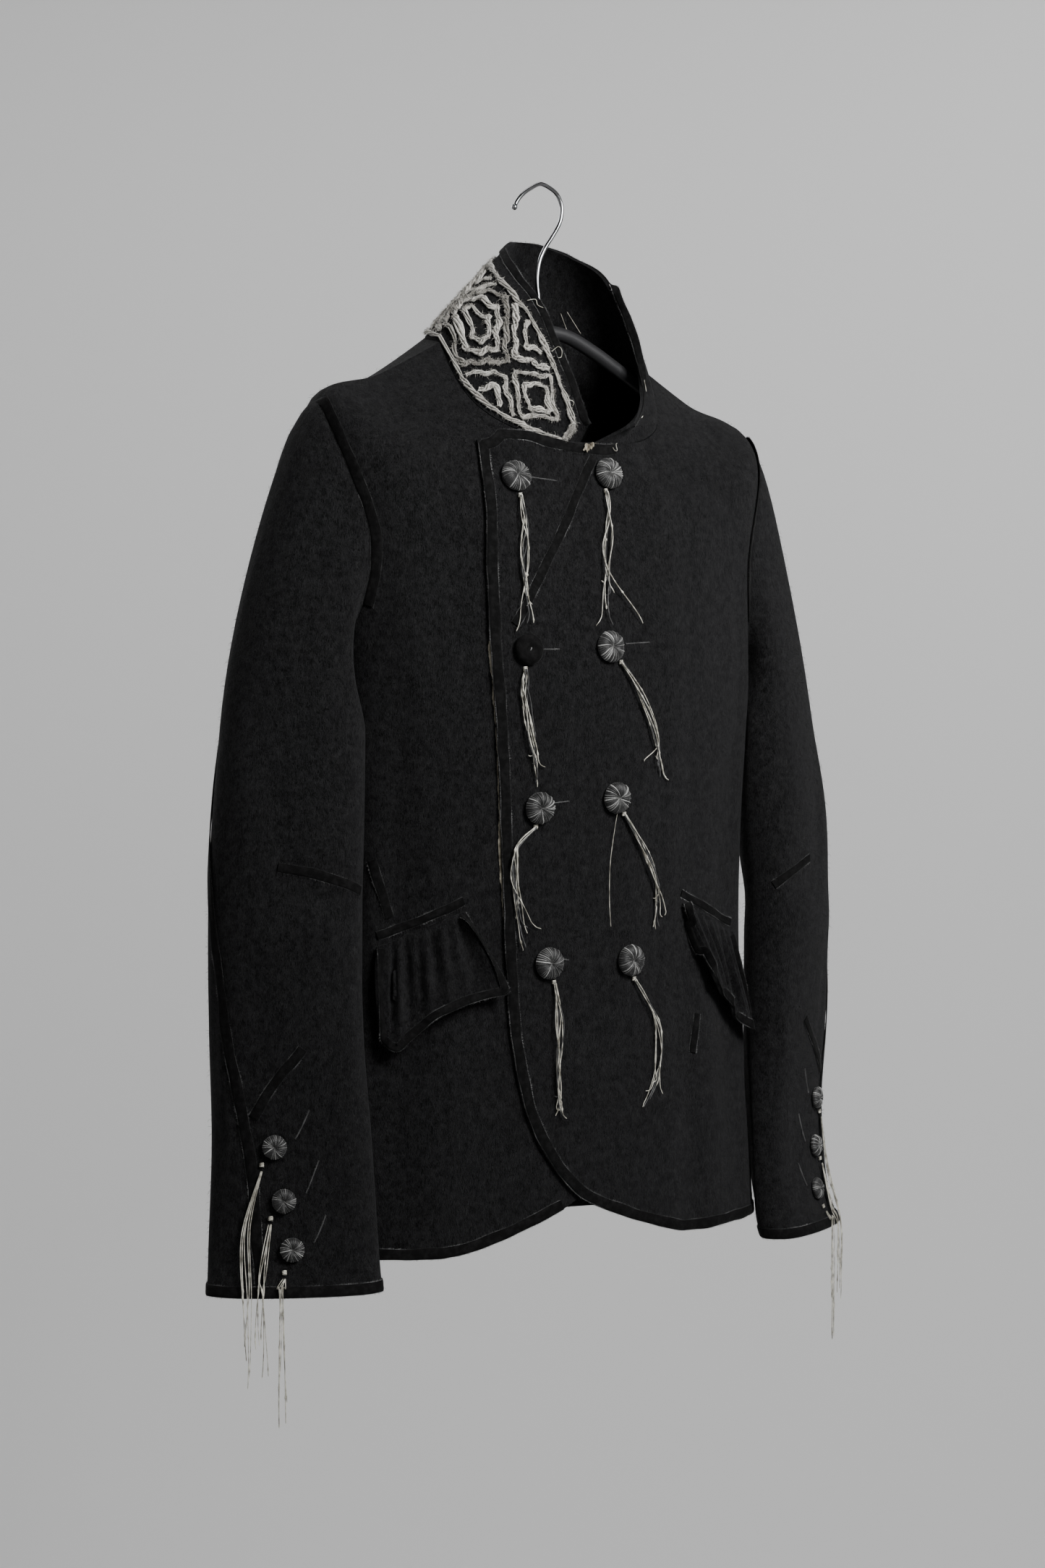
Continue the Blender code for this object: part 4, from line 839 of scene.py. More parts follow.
def tape(name, centre, normal, width, seed, off=TAPE_OFF, closed=False, node=None):
    """Tape along a line on the cloth: the flat profile carried along it, a little uneven, with fray."""
    line = resample(np.concatenate([centre, normal], axis=1), 0.0015, closed)
    centre, normal = line[:, :3], unit(line[:, 3:])
    way = tangents(centre, closed)
    across = unit(np.cross(way, normal))
    out = unit(np.cross(across, way))
    random = np.random.default_rng(seed)
    run = np.arange(len(centre)) * 0.0015
    phase = random.uniform(0.0, 2.0 * math.pi, 4)
    wander = 0.00022 * np.sin(run / 0.011 + phase[0]) + 0.00016 * np.sin(run / 0.0043 + phase[1])
    swell = 1.0 + 0.05 * np.sin(run / 0.0077 + phase[2])
    if closed:
        wander, swell = np.zeros_like(wander), np.ones_like(swell)
    centre = centre + across * wander[:, None] + out * off
    half = 0.5 * width * swell[:, None]
    points, faces = carry(TAPE_PROFILE, centre, across * half, out * TAPE_THICK, closed)
    made = piece(name + "_velvet", points, outward(points, faces), VELVET)
    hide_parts(node or name)
    ends = []
    for sign in (-1.0, 1.0):
        side = centre + across * half * sign * 0.97 + out * 0.0004
        fine = resample(np.concatenate([side, across * sign, out], axis=1), FRAY_SPACING)
        apart = np.linalg.norm(fine[:, None, :3] - centre[None], axis=-1).min(axis=1)
        fine = fine[apart > 0.455 * width]
        ends.append(fray(fine[:, :3], fine[:, 3:6], unit(fine[:, 6:]), seed + int(sign)))
    (low_points, low_faces), (high_points, high_faces) = ends
    points = np.concatenate([low_points, high_points])
    faces = np.concatenate([low_faces, high_faces + len(low_points)])
    made_fray = piece(name + "_fray", points, faces, FRAY)
    return made, made_fray


def inset(border, normal, lead, width):
    """The centre line of a tape along a border, half a width into the cloth and cut short inside corners."""
    way = tangents(border)
    into = lead - way * (lead * way).sum(-1, keepdims=True)
    into = into - normal * (into * normal).sum(-1, keepdims=True)
    line = border + unit(into) * 0.5 * width
    apart = np.linalg.norm(line[:, None] - border[None], axis=-1).min(axis=1)
    kept = apart > 0.48 * width
    return line[kept], normal[kept]


def border_of(outer, normal, lead, *parts):
    """Joins stretches of a grid's border, each given as an index pair and its lead into the cloth."""
    line = np.concatenate([outer[part] for part in parts])
    out = np.concatenate([normal[part] for part in parts])
    return line, out, np.concatenate(lead)


LAPEL_END = 50
UP, DOWN = np.array((0.0, 0.0, 1.0)), np.array((0.0, 0.0, -1.0))
hem = (0, slice(None, 0, -1))
edge = (slice(None), 0)
top = (-1, slice(1, LAPEL_END))
edge_turn = np.linspace(0.06, -0.06, PANEL_ROWS)[:, None] ** 3 / 0.0036
edge_lead = unit(left_outer[:, 6] - left_outer[:, 0] + UP * edge_turn)
border, out, lead = border_of(
    left_outer,
    left_normal,
    [np.tile(UP, (FRONT_COLUMNS, 1)), edge_lead, np.tile(DOWN, (LAPEL_END - 1, 1))],
    hem,
    edge,
    top,
)
tape("tape_front_left", *inset(border, out, lead, TAPE_WIDTH), TAPE_WIDTH, 31)
CORNER_ROWS = 19
edge_lead = unit(right_outer[:CORNER_ROWS, 6] - right_outer[:CORNER_ROWS, 0] + UP * 0.02)
border, out, lead = border_of(
    right_outer,
    right_normal,
    [np.tile(UP, (FRONT_COLUMNS, 1)), edge_lead],
    hem,
    (slice(0, CORNER_ROWS), 0),
)
tape("tape_front_right", *inset(border, out, lead, TAPE_WIDTH), TAPE_WIDTH, 32)
tape(
    "tape_hem_back",
    *inset(back_outer[0], back_normal[0], np.tile(UP, (BACK_COLUMNS + 1, 1)), TAPE_WIDTH),
    TAPE_WIDTH,
    33,
)
LINE_TAPES = (
    # name, side, start_x, start_z, end_x, end_z
    ("tape_lapel", 1, 0.0020, -0.2190, -0.0800, -0.3500),
    ("tape_waist_dart_right", -1, -0.1730, -0.5240, -0.1640, -0.5660),
    ("tape_waist_dart_left", 1, 0.1010, -0.6480, 0.0960, -0.6780),
    ("tape_pocket_right", -1, -0.1700, -0.5795, -0.1140, -0.5545),
    ("tape_pocket_left", 1, 0.1560, -0.5795, 0.0840, -0.5535),
)
for number, (name, side, start_x, start_z, end_x, end_z) in enumerate(LINE_TAPES):
    x, z = np.linspace(start_x, end_x, 40), np.linspace(start_z, end_z, 40)
    width = NARROW_TAPE_WIDTH if "pocket" in name else DART_TAPE_WIDTH
    tape(name, *on_front(side, x, z), width, 40 + number)
for word, side in (("right", -1), ("left", 1)):
    _, outer, normal = FLAPS[side]
    border = np.concatenate([outer[1:, 0], outer[-1, 1:], outer[-2:0:-1, -1]])
    out = np.concatenate([normal[1:, 0], normal[-1, 1:], normal[-2:0:-1, -1]])
    lead = outer[20:28, 40:50].mean(axis=(0, 1)) - border
    tape(f"tape_flap_{word}", *inset(border, out, lead, NARROW_TAPE_WIDTH), NARROW_TAPE_WIDTH, 50 + side)
lead = collar_outer[-4] - collar_outer[-1]
tape(
    "tape_collar",
    *inset(collar_outer[-1], collar_out[-1], lead, NARROW_TAPE_WIDTH),
    NARROW_TAPE_WIDTH,
    55,
)
SEAM_AT = round(SLEEVE_COLUMNS * 18 / LOOP_STEPS)


def on_sleeve(side, z, spin_deg, off=0.0):
    """Points on a sleeve's face at heights and spins, and its normals."""
    z, spin_deg = np.broadcast_arrays(np.asarray(z, float), np.asarray(spin_deg, float))
    row = np.interp(-z, -SLEEVES[:, 2], np.arange(len(SLEEVES)))
    spin = np.radians(spin_deg - columns(SLEEVES, row)[6])
    step = 0.01
    along = sleeve_ring(side, row, spin + step) - sleeve_ring(side, row, spin - step)
    fall = sleeve_ring(side, row + step, spin) - sleeve_ring(side, row - step, spin)
    normal = unit(np.cross(along, fall)) * side
    return sleeve_ring(side, row, spin) + normal * np.asarray(off)[..., None], normal


SLEEVE_LINES = (
    # name, side, start_z, start_spin, end_z, end_spin
    ("tape_elbow_left", 1, -0.530, 103.0, -0.551, 162.0),
    ("tape_elbow_right", -1, -0.528, 85.0, -0.546, 162.0),
    ("tape_branch_left", 1, -0.706, 66.0, -0.660, 108.0),
    ("tape_branch_right", -1, -0.706, 66.0, -0.657, 98.0),
)
for number, (name, side, start_z, start_spin, end_z, end_spin) in enumerate(SLEEVE_LINES):
    places, out = on_sleeve(side, np.linspace(start_z, end_z, 40), np.linspace(start_spin, end_spin, 40))
    tape(name, places, out, DART_TAPE_WIDTH, 60 + number)
for word, side in SLEEVE_SIDES:
    outer, normal = SLEEVE_GRIDS[side]
    up = unit(outer[-3] - outer[-1])
    tape(f"tape_cuff_{word}", outer[-1] + up * 0.5 * TAPE_WIDTH, normal[-1], TAPE_WIDTH, 66 + side, closed=True)
    tape(f"tape_sleeve_{word}", outer[2:-6, SEAM_AT], normal[2:-6, SEAM_AT], TAPE_WIDTH, 70 + side)
for word, side in SLEEVE_SIDES:
    spin = 2.0 * math.pi * (np.linspace(7.2, -8.0, 120) % LOOP_STEPS) / LOOP_STEPS
    step = spin / (2.0 * math.pi) * LOOP_STEPS
    falling = np.interp(step, np.arange(11), ARM_LEVELS[::-1])
    rising = np.interp(step - 10.0, np.arange(11), ARM_LEVELS)
    level = np.where(step <= 10.0, falling, rising)
    turn = side * np.where(step <= 10.0, front_of_armhole(level), back_of_armhole(level))
    places, out = body(level, turn), body_normal(level, turn)
    chest = np.array((0.0, 0.0, -0.30)) - places
    tape(f"tape_armhole_{word}", *inset(places, out, chest, TAPE_WIDTH), TAPE_WIDTH, 74 + side)

# The front buttons. Each is a domed form 24 mm across, wound with grey thread from its rim to the dimple in
# its middle. One is plain, covered with black cloth and held by a small stitch that shows.
BUTTON_RADIUS = 0.012
BUTTON_HEIGHT = 0.0075
BUTTON_THREADS = 40
BUTTONS = (
    # name, x, z
    ("button_right_1", -0.0707, -0.2396),
    ("button_right_2", -0.0707, -0.3682),
    ("button_right_3", -0.0587, -0.4854),
    ("button_right_4", -0.0469, -0.6021),
    ("button_left_1", 0.0135, -0.2318),
    ("button_left_2", 0.0011, -0.3646),
    ("button_left_3", 0.0094, -0.4781),
    ("button_left_4", 0.0274, -0.6026),
)
PLAIN_BUTTON = "button_right_2"
BUTTON_PROFILE = np.array((
    # radius, height as shares of the button's
    (0.000, 0.74),
    (0.090, 0.76),
    (0.240, 0.92),
    (0.480, 1.00),
    (0.720, 0.90),
    (0.890, 0.68),
    (0.985, 0.40),
    (0.960, 0.16),
    (0.800, 0.02),
    (0.000, 0.00),
))


def wound_material():
    """Grey thread: the tone attribute picks each winding's grey, and the valleys between windings are black with
    painted shade.
    """
    material, tree, shader, place = new_material("grey_button_thread", Roughness=0.55, Sheen_Weight=0.15)
    tone = add_node(tree, "ShaderNodeAttribute", attribute_name="tone").outputs["Fac"]
    fine = add_node(tree, "ShaderNodeTexNoise", {"Vector": place, "Scale": 1300.0, "Detail": 3.0})
    varied = add_node(tree, "ShaderNodeMath", {0: tone, 1: fine.outputs[0]}, operation="MULTIPLY")
    share = ramp(tree, varied.outputs[0], 0.05, 0.46)
    tree.links.new(mixed(tree, share, (0.002,) * 3, (0.36, 0.36, 0.35)), shader.inputs["Base Color"])
    raised = add_node(tree, "ShaderNodeBump", {"Strength": 0.35, "Distance": 0.0003, "Height": fine.outputs[0]})
    tree.links.new(raised.outputs["Normal"], shader.inputs["Normal"])
    return material


WOUND_WITH_PAINTED_SHADE = wound_material()


def frame_at(normal):
    """Two directions that lie in the cloth, across and up it, for a normal."""
    across = unit(np.cross(np.array((0.0, 0.0, 1.0)), normal))
    return across, np.cross(normal, across)


def weld(made, distance=1e-6):
    """Merges the points that lie together at a pole."""
    mesh = bmesh.new()
    mesh.from_mesh(made.data)
    bmesh.ops.remove_doubles(mesh, verts=mesh.verts, dist=distance)
    mesh.to_mesh(made.data)
    mesh.free()


def toned(made, values):
    """Gives a piece's points their tones, which its material reads."""
    tones = made.data.attributes.new("tone", "FLOAT", "POINT")
    tones.data.foreach_set("value", np.ravel(values).astype(np.float32))


def button(name, place, normal, scale, seed, threads=BUTTON_THREADS):
    """A turned dome. Each winding is a ridge |cos(n a / 2)|, of its own width, height and tone, that leans."""
    random = np.random.default_rng(seed)
    sides = 5 * threads
    angle = np.arange(sides) * 2.0 * math.pi / sides
    share_r, share_h = columns(BUTTON_PROFILE, np.linspace(0.0, len(BUTTON_PROFILE) - 1.0, 24))
    share_r, share_h = np.clip(share_r, 0.0, None)[:, None], share_h[:, None]
    waver = 0.16 * np.sin(angle * 3.0 + seed) + 0.07 * np.sin(angle * 11.0 + 2.0 * seed) + 0.18
    lean = waver * (1.0 - share_r)
    winding = threads * (angle + lean) / (2.0 * math.pi)
    number = np.round(winding).astype(int) % threads
    depth = random.uniform(0.30, 1.0, threads)[number]
    tone = random.uniform(0.0, 1.0, threads)[number]
    ridge = np.abs(np.cos(math.pi * winding)) ** 0.8 * depth
    fade = ease(share_r / 0.20) * ease(share_h / 0.25)
    radius = BUTTON_RADIUS * scale * share_r * (1.0 + 0.070 * (ridge - 0.4) * fade)
    height = BUTTON_HEIGHT * scale * (share_h + 0.16 * (ridge - 0.4) * fade)
    across, up = frame_at(normal)
    points = (
        place
        + across * (radius * np.cos(angle))[..., None]
        + up * (radius * np.sin(angle))[..., None]
        + normal * height[..., None]
    )
    made = piece(name + "_wound", points.reshape(-1, 3), cells(24, sides, True), WOUND_WITH_PAINTED_SHADE, 180.0)
    # The tone falls to black as ridge^2.2 in the valleys between windings: painted shade.
    toned(made, (0.15 + 1.15 * tone) * ridge**2.2)
    weld(made)
    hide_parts(name)
    return made


def covered_button(name, place, normal):
    """The same dome without windings, in plain black cloth."""
    angle = np.arange(72) * 2.0 * math.pi / 72
    share_r, share_h = columns(BUTTON_PROFILE, np.linspace(0.0, len(BUTTON_PROFILE) - 1.0, 24))
    radius, height = BUTTON_RADIUS * np.clip(share_r, 0.0, None), 0.8 * BUTTON_HEIGHT * share_h
    across, up = frame_at(normal)
    points = (
        place
        + across * (radius[:, None] * np.cos(angle))[..., None]
        + up * (radius[:, None] * np.sin(angle))[..., None]
        + (normal * height[:, None])[:, None]
    )
    made = piece(name + "_covered", points.reshape(-1, 3), cells(24, 72, True), VELVET, 180.0)
    weld(made)
    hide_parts(name)


def round_profile(sides):
    """Points of a circle of radius 1, for a thread or a wire."""
    angle = np.arange(sides) * 2.0 * math.pi / sides
    return np.stack([np.cos(angle), np.sin(angle)], -1)


def strand(path, radius, sides=6, spacing=0.0012, bumps=()):
    """A round thread along a path. Knots are bumps that swell its radius, and its ends taper to points."""
    line = resample(path, spacing)
    way = tangents(line)
    across = unit(np.cross(way, np.array((0.31, -0.92, 0.24))))
    out = np.cross(across, way)
    share = np.linspace(0.0, 1.0, len(line))
    run = share * (len(line) - 1) * spacing
    size = np.full(len(line), radius)
    for at, swell in bumps:
        size = size * (1.0 + swell * np.exp(-(((share - at) * run[-1] / 0.0011) ** 2)))
    size[0], size[-1] = 0.5 * radius, 0.5 * radius
    return carry(round_profile(sides), line, across * size[:, None], out * size[:, None])


def joined(parts):
    """Points and faces of several meshes put into one."""
    shifts = np.cumsum([0] + [len(p) for p, _ in parts[:-1]])
    return np.concatenate([p for p, _ in parts]), np.concatenate([f + s for (_, f), s in zip(parts, shifts)])


def threads(name, parts, material):
    """One piece of several threads, each turned outward before they are put together."""
    points, faces = joined([(p, outward(p, f)) for p, f in parts])
    return piece(name, points, faces, material, 180.0)


DARK_THREAD = thread_material("dark_grey_thread", (0.022,) * 3, (0.085,) * 3, 0.7)
for number, (name, x, z) in enumerate(BUTTONS):
    place, out = on_front(1, x, z, 2.0 * GAP)
    if name == PLAIN_BUTTON:
        covered_button(name, place, out)
        across, up = frame_at(out)
        middle = place + out * 0.60 * BUTTON_HEIGHT
        ends = np.array((-0.0013, 0.0013))[:, None]
        cross = middle + (up * 0.9 + across * 0.4) * ends
        arch = np.concatenate([cross[:1], middle[None] + out * 0.0007, cross[1:]])
        made = threads("plain_button_stitch", [strand(arch, 0.0004, spacing=0.0004)], FRAY)
    else:
        button(name, place, out, 1.0, 80 + number)

# The buttonholes. Each is a narrow slit worked shut with fine grey stitches, which shows as a short thin
# line beside its button.
HOLES = (
    # start_x, start_z, end_x, end_z
    (-0.0600, -0.2385, -0.0345, -0.2400),
    (-0.0615, -0.3680, -0.0440, -0.3674),
    (-0.0480, -0.4820, -0.0330, -0.4806),
    (-0.0420, -0.5985, -0.0290, -0.6003),
    (0.0175, -0.3617, 0.0410, -0.3598),
)
STITCH_SPACING = 0.0009


def worked_hole(surface, start, end, seed):
    """A low cord along a slit, crossed by short stitches a little uneven in length and lean."""
    random = np.random.default_rng(seed)
    start, end = np.array(start), np.array(end)
    count = max(int(np.linalg.norm((end - start) * surface[1]) / STITCH_SPACING), 4)
    share = np.linspace(0.0, 1.0, count)[:, None]
    at = start + (end - start) * share
    centre, out = surface[0](at[:, 0], at[:, 1])
    across = unit(np.cross(tangents(centre), out))
    reach = random.uniform(0.0005, 0.0010, (count, 1))
    skew = tangents(centre) * random.normal(0.0, 0.0002, (count, 1))
    low, high = centre - across * reach - skew, centre + across * reach + skew
    parts = [strand(centre + out * 0.0004, 0.00032, spacing=0.0012)]
    for first, peak, last in zip(low, centre + out * 0.0009, high):
        parts.append(strand(np.array((first, peak, last)), 0.00016, 4, 0.0005))
    return parts


parts = []
for number, (start_x, start_z, end_x, end_z) in enumerate(HOLES):
    surface = (lambda x, z: on_front(1, x, z, 0.0002), 1.0)
    parts += worked_hole(surface, (start_x, start_z), (end_x, end_z), 100 + number)
made = threads("buttonhole_stitches", parts, DARK_THREAD)
parts = []
CUFF_HOLES = (
    # start_z, start_spin, end_z, end_spin
    (-0.7220, 91.0, -0.7010, 100.0),
    (-0.7590, 96.0, -0.7380, 105.0),
    (-0.7960, 100.0, -0.7750, 109.0),
)
for side in (1, -1):
    for number, (start_z, start_spin, end_z, end_spin) in enumerate(CUFF_HOLES):
        surface = (lambda z, spin, side=side: on_sleeve(side, z, spin, 0.0002), np.array((1.0, 0.0009)))
        parts += worked_hole(surface, (start_z, start_spin), (end_z, end_spin), 110 + number)
made = threads("cuff_hole_stitches", parts, DARK_THREAD)

# The cuff buttons, three on each sleeve beside the hind seam. They are wound in the same way, 17.5 mm
# across.
CUFF_BUTTON_SCALE = 0.73
CUFF_BUTTONS = (
    # z, spin_deg
    (-0.728, 80.0),
    (-0.764, 85.0),
    (-0.801, 89.0),
)
for word, side in SLEEVE_SIDES:
    for number, (z, spin_deg) in enumerate(CUFF_BUTTONS, start=1):
        place, out = on_sleeve(side, z, spin_deg, 2.0 * GAP)
        button(f"cuff_button_{word}_{number}", place, out, CUFF_BUTTON_SCALE, 90 + number + 5 * side, 34)

# The tassels. A bundle of ivory waxed threads hangs from under each button. The threads cross over one
# another, are knotted here and there, and end in single curled tips.
THREAD_RADIUS = 0.00035
THREAD_OFF = 0.0026
TASSELS = (
    # name, start_x, start_z, knee_x, knee_z, low_x, low_z, end_x, end_z, stray_x, stray_z
    ("right_1", -0.0692, -0.2535, -0.0700, -0.2780, -0.0715, -0.3060, -0.0668, -0.3490, -0.0786, -0.3560),
    ("right_2", -0.0735, -0.3825, -0.0735, -0.4000, -0.0680, -0.4350, -0.0615, -0.4700, -0.0580, -0.4560),
    ("right_3", -0.0610, -0.4995, -0.0745, -0.5150, -0.0772, -0.5420, -0.0709, -0.5930, -0.0575, -0.5780),
    ("right_4", -0.0425, -0.6165, -0.0398, -0.6447, -0.0410, -0.6850, -0.0370, -0.7210, -0.0440, -0.7150),
    ("left_1", 0.0095, -0.2455, 0.0075, -0.2700, 0.0020, -0.3050, -0.0077, -0.3510, 0.0340, -0.3460),
    ("left_2", 0.0110, -0.3760, 0.0290, -0.4000, 0.0460, -0.4350, 0.0600, -0.4660, 0.0300, -0.4520),
    ("left_3", 0.0175, -0.4905, 0.0380, -0.5190, 0.0520, -0.5467, 0.0504, -0.5812, 0.0670, -0.5715),
    ("left_4", 0.0310, -0.6170, 0.0520, -0.6520, 0.0520, -0.6900, 0.0335, -0.7174, 0.0593, -0.7075),
)
STRANDS = 7
# The ivory thread's tone changes along it in patches, and its light patches are painted highlights of the waxed
# thread.
IVORY_WITH_PAINTED_HIGHLIGHTS = thread_material("ivory_waxed_thread", (0.16, 0.15, 0.12), (0.66, 0.64, 0.56), 0.40)


def hanging_threads(route, random, place_at):
    """Threads that share a route and sway about it: each swings as two sines that widen on the way down."""
    start, knee, low, end, stray = route
    steps = np.linspace(0.0, 1.0, 90)
    parts = []
    for number in range(STRANDS):
        share = np.array((0.0, 0.05, 0.10, 0.20, 0.36, 0.55, 1.0))[number]
        tip = end + (stray - end) * share
        tip = tip + (low - tip) * random.uniform(0.0, 0.75) * (number % 3 > 0)
        line = columns(np.array((start, knee, low, tip)), 3.0 * steps).T
        phase = random.uniform(0.0, 2.0 * math.pi, 2)
        wide = 0.0005 + 0.0040 * np.sin(math.pi * np.minimum(steps * 1.1, 1.0) ** 0.9)
        line[:, 0] += wide * random.uniform(0.5, 1.0) * np.sin(phase[0] + steps * random.uniform(4.0, 7.0))
        line[:, 0] += 0.0007 * steps * np.sin(phase[1] + steps * random.uniform(16.0, 24.0))
        curl = ease((steps - 0.90) / 0.10) * random.uniform(-1.0, 1.0)
        line[:, 0] += 0.0045 * curl
        line[:, 1] += 0.0024 * np.abs(curl) * ease((steps - 0.94) / 0.06)
        places, out = place_at(line)
        over = 0.0008 * np.cos(phase[0] + steps * 7.0) + 0.0004 * number * np.sin(math.pi * steps)
        path = places + out * over[:, None]
        bumps = [(at, 1.3) for at in random.uniform(0.30, 0.99, random.integers(1, 4))] + [(0.015, 1.0)]
        parts.append(strand(path, THREAD_RADIUS * random.uniform(0.75, 1.15), 6, 0.0012, bumps))
    return parts


def head_of(place, out, down):
    """The knot that a tassel starts from: three turns of a small helix round its root."""
    across = np.cross(out, down)
    turn = np.linspace(0.0, 6.0 * math.pi, 60)[:, None]
    axis = down * (turn / turn[-1] - 0.5) * 0.0030
    return strand(place + axis + across * 0.0015 * np.cos(turn) + out * 0.0009 * np.sin(turn), 0.00045, 6, 0.0008)


for number, (name, *route) in enumerate(TASSELS):
    random = np.random.default_rng(120 + number)
    route = np.array(route).reshape(5, 2)
    parts = hanging_threads(route, random, lambda line: on_front(1, line[:, 0], line[:, 1], THREAD_OFF))
    made = threads(f"tassel_{name}_dark_threads", parts[3:5], DARK_THREAD)
    del parts[3:5]
    root, out = on_front(1, route[0, 0], route[0, 1], 0.0016)
    parts.append(head_of(root, out, unit(DOWN - out * (DOWN * out).sum())))
    made = threads(f"tassel_{name}_threads", parts, IVORY_WITH_PAINTED_HIGHLIGHTS)
    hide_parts(f"tassel_{name}")

# The cuff tassels hang from under the cuff buttons, past the open end of the sleeve.
CUFF_TASSELS = (
    # start_z, start_spin_deg, low_z, low_spin_deg, end_z
    (-0.7400, 71, -0.785, 60, -0.8980),
    (-0.7760, 77, -0.815, 71, -0.8900),
    (-0.8130, 85, -0.825, 83, -0.9260),
)
CUFF_END = -0.834
CUFF_THREAD_OFF = 0.0030
for word, side in SLEEVE_SIDES:
    for number, (start_z, start_spin, low_z, low_spin, end_z) in enumerate(CUFF_TASSELS, start=1):
        random = np.random.default_rng(140 + number + 4 * side)
        root, out = on_sleeve(side, start_z, start_spin, 0.0016)
        anchors = [
            on_sleeve(side, z, spin, CUFF_THREAD_OFF)
            for z, spin in ((start_z - 0.004, start_spin), (low_z, low_spin), (CUFF_END + 0.001, low_spin))
        ]
        parts = [head_of(root, out, unit(DOWN - out * (DOWN * out).sum()))]
        steps = np.linspace(0.0, 1.0, 60)
        for thread in range(5):
            apart = np.cross(out, DOWN) * (thread - 2.0) * 0.0012
            tip = anchors[2][0] + apart * 1.2
            tip[2] = end_z + random.uniform(0.0, 0.035) * (thread != 2)
            way = np.array([anchors[0][0] + apart * 0.4, anchors[1][0] + apart, anchors[2][0] + apart, tip])
            line = columns(way, 3.0 * steps).T
            sway = np.sin(random.uniform(0.0, 6.0) + steps * random.uniform(5.0, 9.0)) * (0.0004 + 0.0015 * steps)
            line = line + np.cross(out, DOWN) * sway[:, None]
            bumps = [(at, 1.1) for at in random.uniform(0.3, 0.98, 2)]
            parts.append(strand(line, THREAD_RADIUS * random.uniform(0.75, 1.1), 6, 0.0012, bumps))
        made = threads(f"cuff_tassel_{word}_{number}_threads", parts, IVORY_WITH_PAINTED_HIGHLIGHTS)
        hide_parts(f"cuff_tassel_{word}_{number}")

# The collar's right wing is decorated on its outer face with soft woollen yarn in cream and greige, laid on
# the black wool in nested diamonds and held by small stitches, inside a black margin.
YARN_RADIUS = 0.0019
YARN_MARGIN = 0.0150
YARN_FROM_TURN, YARN_TO_TURN = math.radians(-14.0), math.radians(-158.0)
YARN_FROM_SHARE = 0.05
PLIES = 4
HAIRS_PER_STEP = 8
DIAMONDS = 3
RINGS = 3


def yarn_material():
    """Soft loose wool: cream and greige change slowly along it, over fine twisted fibres."""
    material, tree, shader, place = new_material("cream_wool_yarn", Roughness=0.9, Sheen_Weight=0.4)
    tone = add_node(tree, "ShaderNodeAttribute", attribute_name="tone").outputs["Fac"]
    slow = add_node(tree, "ShaderNodeTexNoise", {"Vector": place, "Scale": 150.0, "Detail": 4.0})
    hairs = add_node(tree, "ShaderNodeTexNoise", {"Vector": place, "Scale": 1700.0, "Detail": 4.0, "Distortion": 2.0})
    both = add_node(tree, "ShaderNodeMath", {0: tone, 1: slow.outputs[0]}, operation="ADD")
    base = mixed(tree, ramp(tree, both.outputs[0], 0.45, 1.20), (0.12, 0.11, 0.09), (0.70, 0.675, 0.62))
    dark = ramp(tree, hairs.outputs[0], 0.32, 0.56)
    shade = add_node(tree, "ShaderNodeMix", data_type="RGBA")
    tree.links.new(dark, shade.inputs[0])
    shade.inputs[6].default_value = (0.08, 0.072, 0.058, 1.0)
    tree.links.new(base, shade.inputs[7])
    tree.links.new(shade.outputs[2], shader.inputs["Base Color"])
    raised = add_node(tree, "ShaderNodeBump", {"Strength": 0.8, "Distance": 0.0006, "Height": hairs.outputs[0]})
    tree.links.new(raised.outputs["Normal"], shader.inputs["Normal"])
    return material


YARN = yarn_material()


def on_collar(across, up, off):
    """Points over the collar's outer face at shares of the decorated field, along the collar and up it."""
    turn = YARN_FROM_TURN + (YARN_TO_TURN - YARN_FROM_TURN) * across
    height = np.linalg.norm(collar(turn, 1.0 + 0.0 * turn) - collar(turn, 0.0 * turn), axis=-1)
    share = YARN_FROM_SHARE + (1.0 - YARN_MARGIN / height - YARN_FROM_SHARE) * up
    return collar(turn, share) + collar_normal(turn, share) * np.asarray(off)[..., None]


def laid_yarn(corners, random):
    """Plies that twist round a line between corner points of the field, which wanders a little as it goes."""
    line = resample(np.array(corners), 0.004)
    length = np.linalg.norm(np.diff(on_collar(line[:, 0], line[:, 1], 0.0), axis=0), axis=1).sum()
    count = max(int(length / 0.0013), 12)
    share = np.linspace(0.0, 1.0, count)
    at = np.stack([np.interp(share, np.linspace(0.0, 1.0, len(line)), line[:, k]) for k in (0, 1)], -1)
    run = share * length
    phase = random.uniform(0.0, 2.0 * math.pi, 8)
    at[:, 1] += 0.009 * np.sin(run / 0.0021 + phase[0]) + 0.012 * np.sin(run / 0.0063 + phase[1])
    at[:, 0] += 0.005 * np.sin(run / 0.0029 + phase[2])
    at = np.clip(at, 0.0, 1.0)
    thick = YARN_RADIUS * random.uniform(0.75, 1.1)
    thick = thick * (1.0 + 0.24 * np.sin(run / 0.0047 + phase[3]) + 0.14 * np.sin(run / 0.0013 + phase[4]))
    centre = on_collar(at[:, 0], at[:, 1], 0.0016)
    out = unit(on_collar(at[:, 0], at[:, 1], 0.01) - centre)
    across = unit(np.cross(tangents(centre), out))
    parts = []
    for ply in range(PLIES):
        twist = run / 0.0030 + 2.0 * math.pi * ply / PLIES + phase[5] + 0.5 * np.sin(run / 0.0052 + phase[6])
        loose = thick * (0.78 + 0.22 * np.sin(run / 0.0041 + 2.1 * ply + phase[7]))
        offset = across * (loose * np.cos(twist))[:, None] + out * (0.42 * loose * np.sin(twist))[:, None]
        size = (0.36 * thick * (1.0 + 0.30 * np.sin(run / 0.0036 + phase[7] + ply)))[:, None]
        parts.append(carry(round_profile(6), centre + offset, across * size, out * size))
    return parts, centre, out, across, thick


